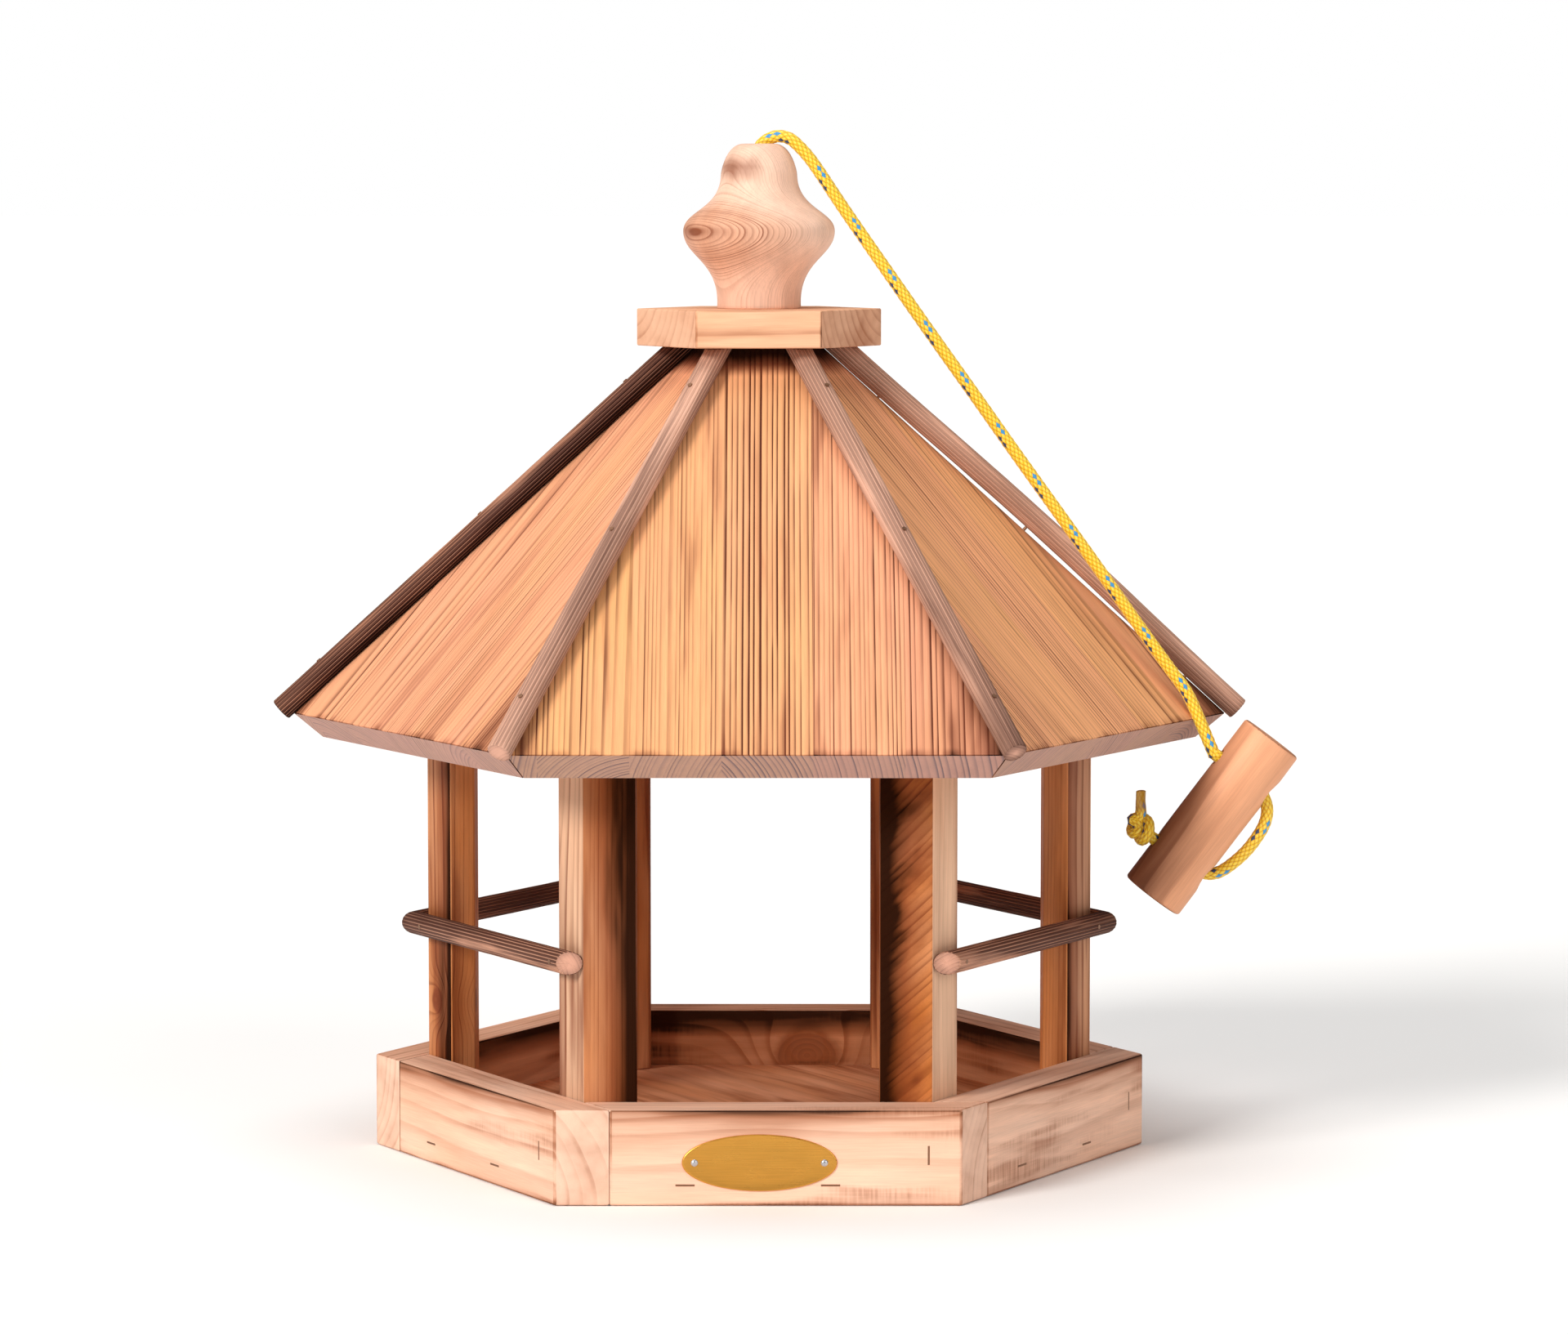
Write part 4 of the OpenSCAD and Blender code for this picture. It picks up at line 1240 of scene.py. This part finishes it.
def toggle(material):
    """Peeled round stick: slightly uneven, cross-bored, its edges softened."""
    bm = bmesh.new()
    around, rows = 96, 60
    ease = 0.8 * MM
    straight = TOGGLE_HALF - ease
    heights = [(-TOGGLE_HALF, TOGGLE_R - ease)]
    heights += [(straight * (2 * i / rows - 1), TOGGLE_R) for i in range(rows + 1)]
    heights += [(TOGGLE_HALF, TOGGLE_R - ease)]
    side = Vector((0, 1, 0))
    rings = [circle(bm, around, lambda c, s: on_toggle(height, r * c) + side * r * s)
             for height, r in heights]
    skin(bm, rings)
    bm.faces.new(rings[0])
    bm.faces.new(rings[-1])
    obj = new_object("peeled_toggle", bm, material)
    for s in (-HOLE_S * MM, HOLE_S * MM):
        drill(obj, s)
    soften(obj)
    unevenness = 0.45 * MM
    for v in obj.data.vertices:
        offset = v.co - TOGGLE_MID
        s = offset.dot(TOGGLE_UP)
        spoke = offset - TOGGLE_UP * s
        if spoke.length > TOGGLE_R * 0.8:
            place = Vector((spoke.x * 60, spoke.y * 60, s * 28))
            v.co -= spoke.normalized() * unevenness * (0.5 + 0.5 * noise.noise(place))

    # Painted shade where the roof keeps the light off: darker on the side turned towards the roof and
    # towards the lower end.
    def burn_and_shade(span, normal):
        return np.clip(0.12 - 0.5 * normal[:, 2] - 0.3 * span[:, 0], 0, 0.75), 0.1

    grain_wood(obj, (TOGGLE_UP, side, TOGGLE_OUT), (1.5 * MM, -2 * MM), 6.4,
               (0.35, 0.14, 1.7), burn_and_shade, edge=0.0, round_piece=True, blunt=True)
    return stand_in(obj, "toggle", "toggle")


def drill(obj, s):
    """Cuts the cross hole whose axis is at s along the toggle, with its flared mouth."""
    # Radius and place across the toggle, in millimetres.
    outline = [(4.0, -20.0), (4.0, 5.25), (6.7, 14.25), (7.6, 20.0)]
    bm = bmesh.new()
    rings = [circle(bm, 48, lambda c, q: on_toggle(s + r * MM * c, w * MM)
                    + Vector((0, r * MM * q, 0))) for r, w in outline]
    skin(bm, rings)
    bm.faces.new(rings[0])
    bm.faces.new(rings[-1])
    cutter = new_object("cutter", bm, obj.data.materials[0])
    cut = obj.modifiers.new("hole", "BOOLEAN")
    cut.operation = "DIFFERENCE"
    cut.object = cutter
    cut.solver = "EXACT"
    apply_modifiers(obj)
    bpy.data.objects.remove(cutter)


def soften(obj):
    """Even mesh with rounded edges."""
    remesh = obj.modifiers.new("even", "REMESH")
    remesh.mode = "VOXEL"
    remesh.voxel_size = 0.5 * MM
    remesh.use_smooth_shade = True
    relax = obj.modifiers.new("relax", "SMOOTH")
    relax.factor = 0.5
    relax.iterations = 4
    apply_modifiers(obj)


def apply_modifiers(obj):
    """Replaces the mesh with the one that its modifiers give."""
    bpy.context.view_layer.update()
    shown = obj.evaluated_get(bpy.context.evaluated_depsgraph_get())
    mesh = bpy.data.meshes.new_from_object(shown)
    obj.modifiers.clear()
    obj.data = mesh


# ---- The feeder ----

def build():
    """Makes every piece of the feeder."""
    add_camera()
    finish = build_materials()
    cord, path, length, bore = add_cord(finish["cord"])
    loop = add_loop(finish["cord"])
    lower = on_toggle(-HOLE_S * MM, -TOGGLE_R - 0.2 * MM)
    end_knot = add_knot("tied_end_knot", "end_knot", "toggle", lower, -TOGGLE_OUT,
                        lower - TOGGLE_OUT * 6 * MM + Vector((-0.8, 0, 17)) * MM,
                        finish["cord"], True)
    cap_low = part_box("cap_board")[0].z
    stopper = add_knot("tied_stopper_knot", "stopper_knot", "feeder",
                       Vector((0, 0, cap_low + 1 * MM)), -UP,
                       Vector((1.5, 0, 331)) * MM, finish["cord"], False)
    stick = toggle(finish["toggle_wood"])
    for side, azimuth in SIDES.items():
        tray_board(side, azimuth, finish["tray_pine"])
        roof_panel(side, azimuth, finish["roof_pine"])
        if azimuth % 180 != 90:
            perch(side, azimuth, finish["dowel_pine"])
    for corner, azimuth in CORNERS.items():
        post(corner, azimuth, finish["post_pine"])
        hip_batten(corner, azimuth, finish["dowel_pine"])
    floor_board(finish["tray_pine"])
    cap_board(finish["cap_pine"])
    finial(finish["finial_wood"])
    name_plate(finish["brass"])
    plate_pins(finish["steel"])
    staples("tray_staples", finish["aged_steel"])
    staples("floor_staples", finish["aged_steel"])
    for node in ("perch_brads", "batten_brads"):
        give_finish(node, finish["aged_steel"])
    for node in ("roof_nails", "cap_nails", "finial_screws"):
        give_finish(node, finish["steel"])


def light():
    """Soft light from the left, the right and above, on a plain floor."""
    add_world(0.16)
    add_sun("key", (-0.6, -0.66, 0.46), 2.5, 18, (1, 0.98, 0.95))
    add_sun("fill", (0.65, -0.8, 0.5), 0.8, 40, (1, 0.98, 0.97))
    add_sun("top", (-0.1, 0.0, 1), 1.6, 50, (1, 1, 1))
    add_floor()
    bpy.context.scene.view_settings.view_transform = "Standard"


build()
light()
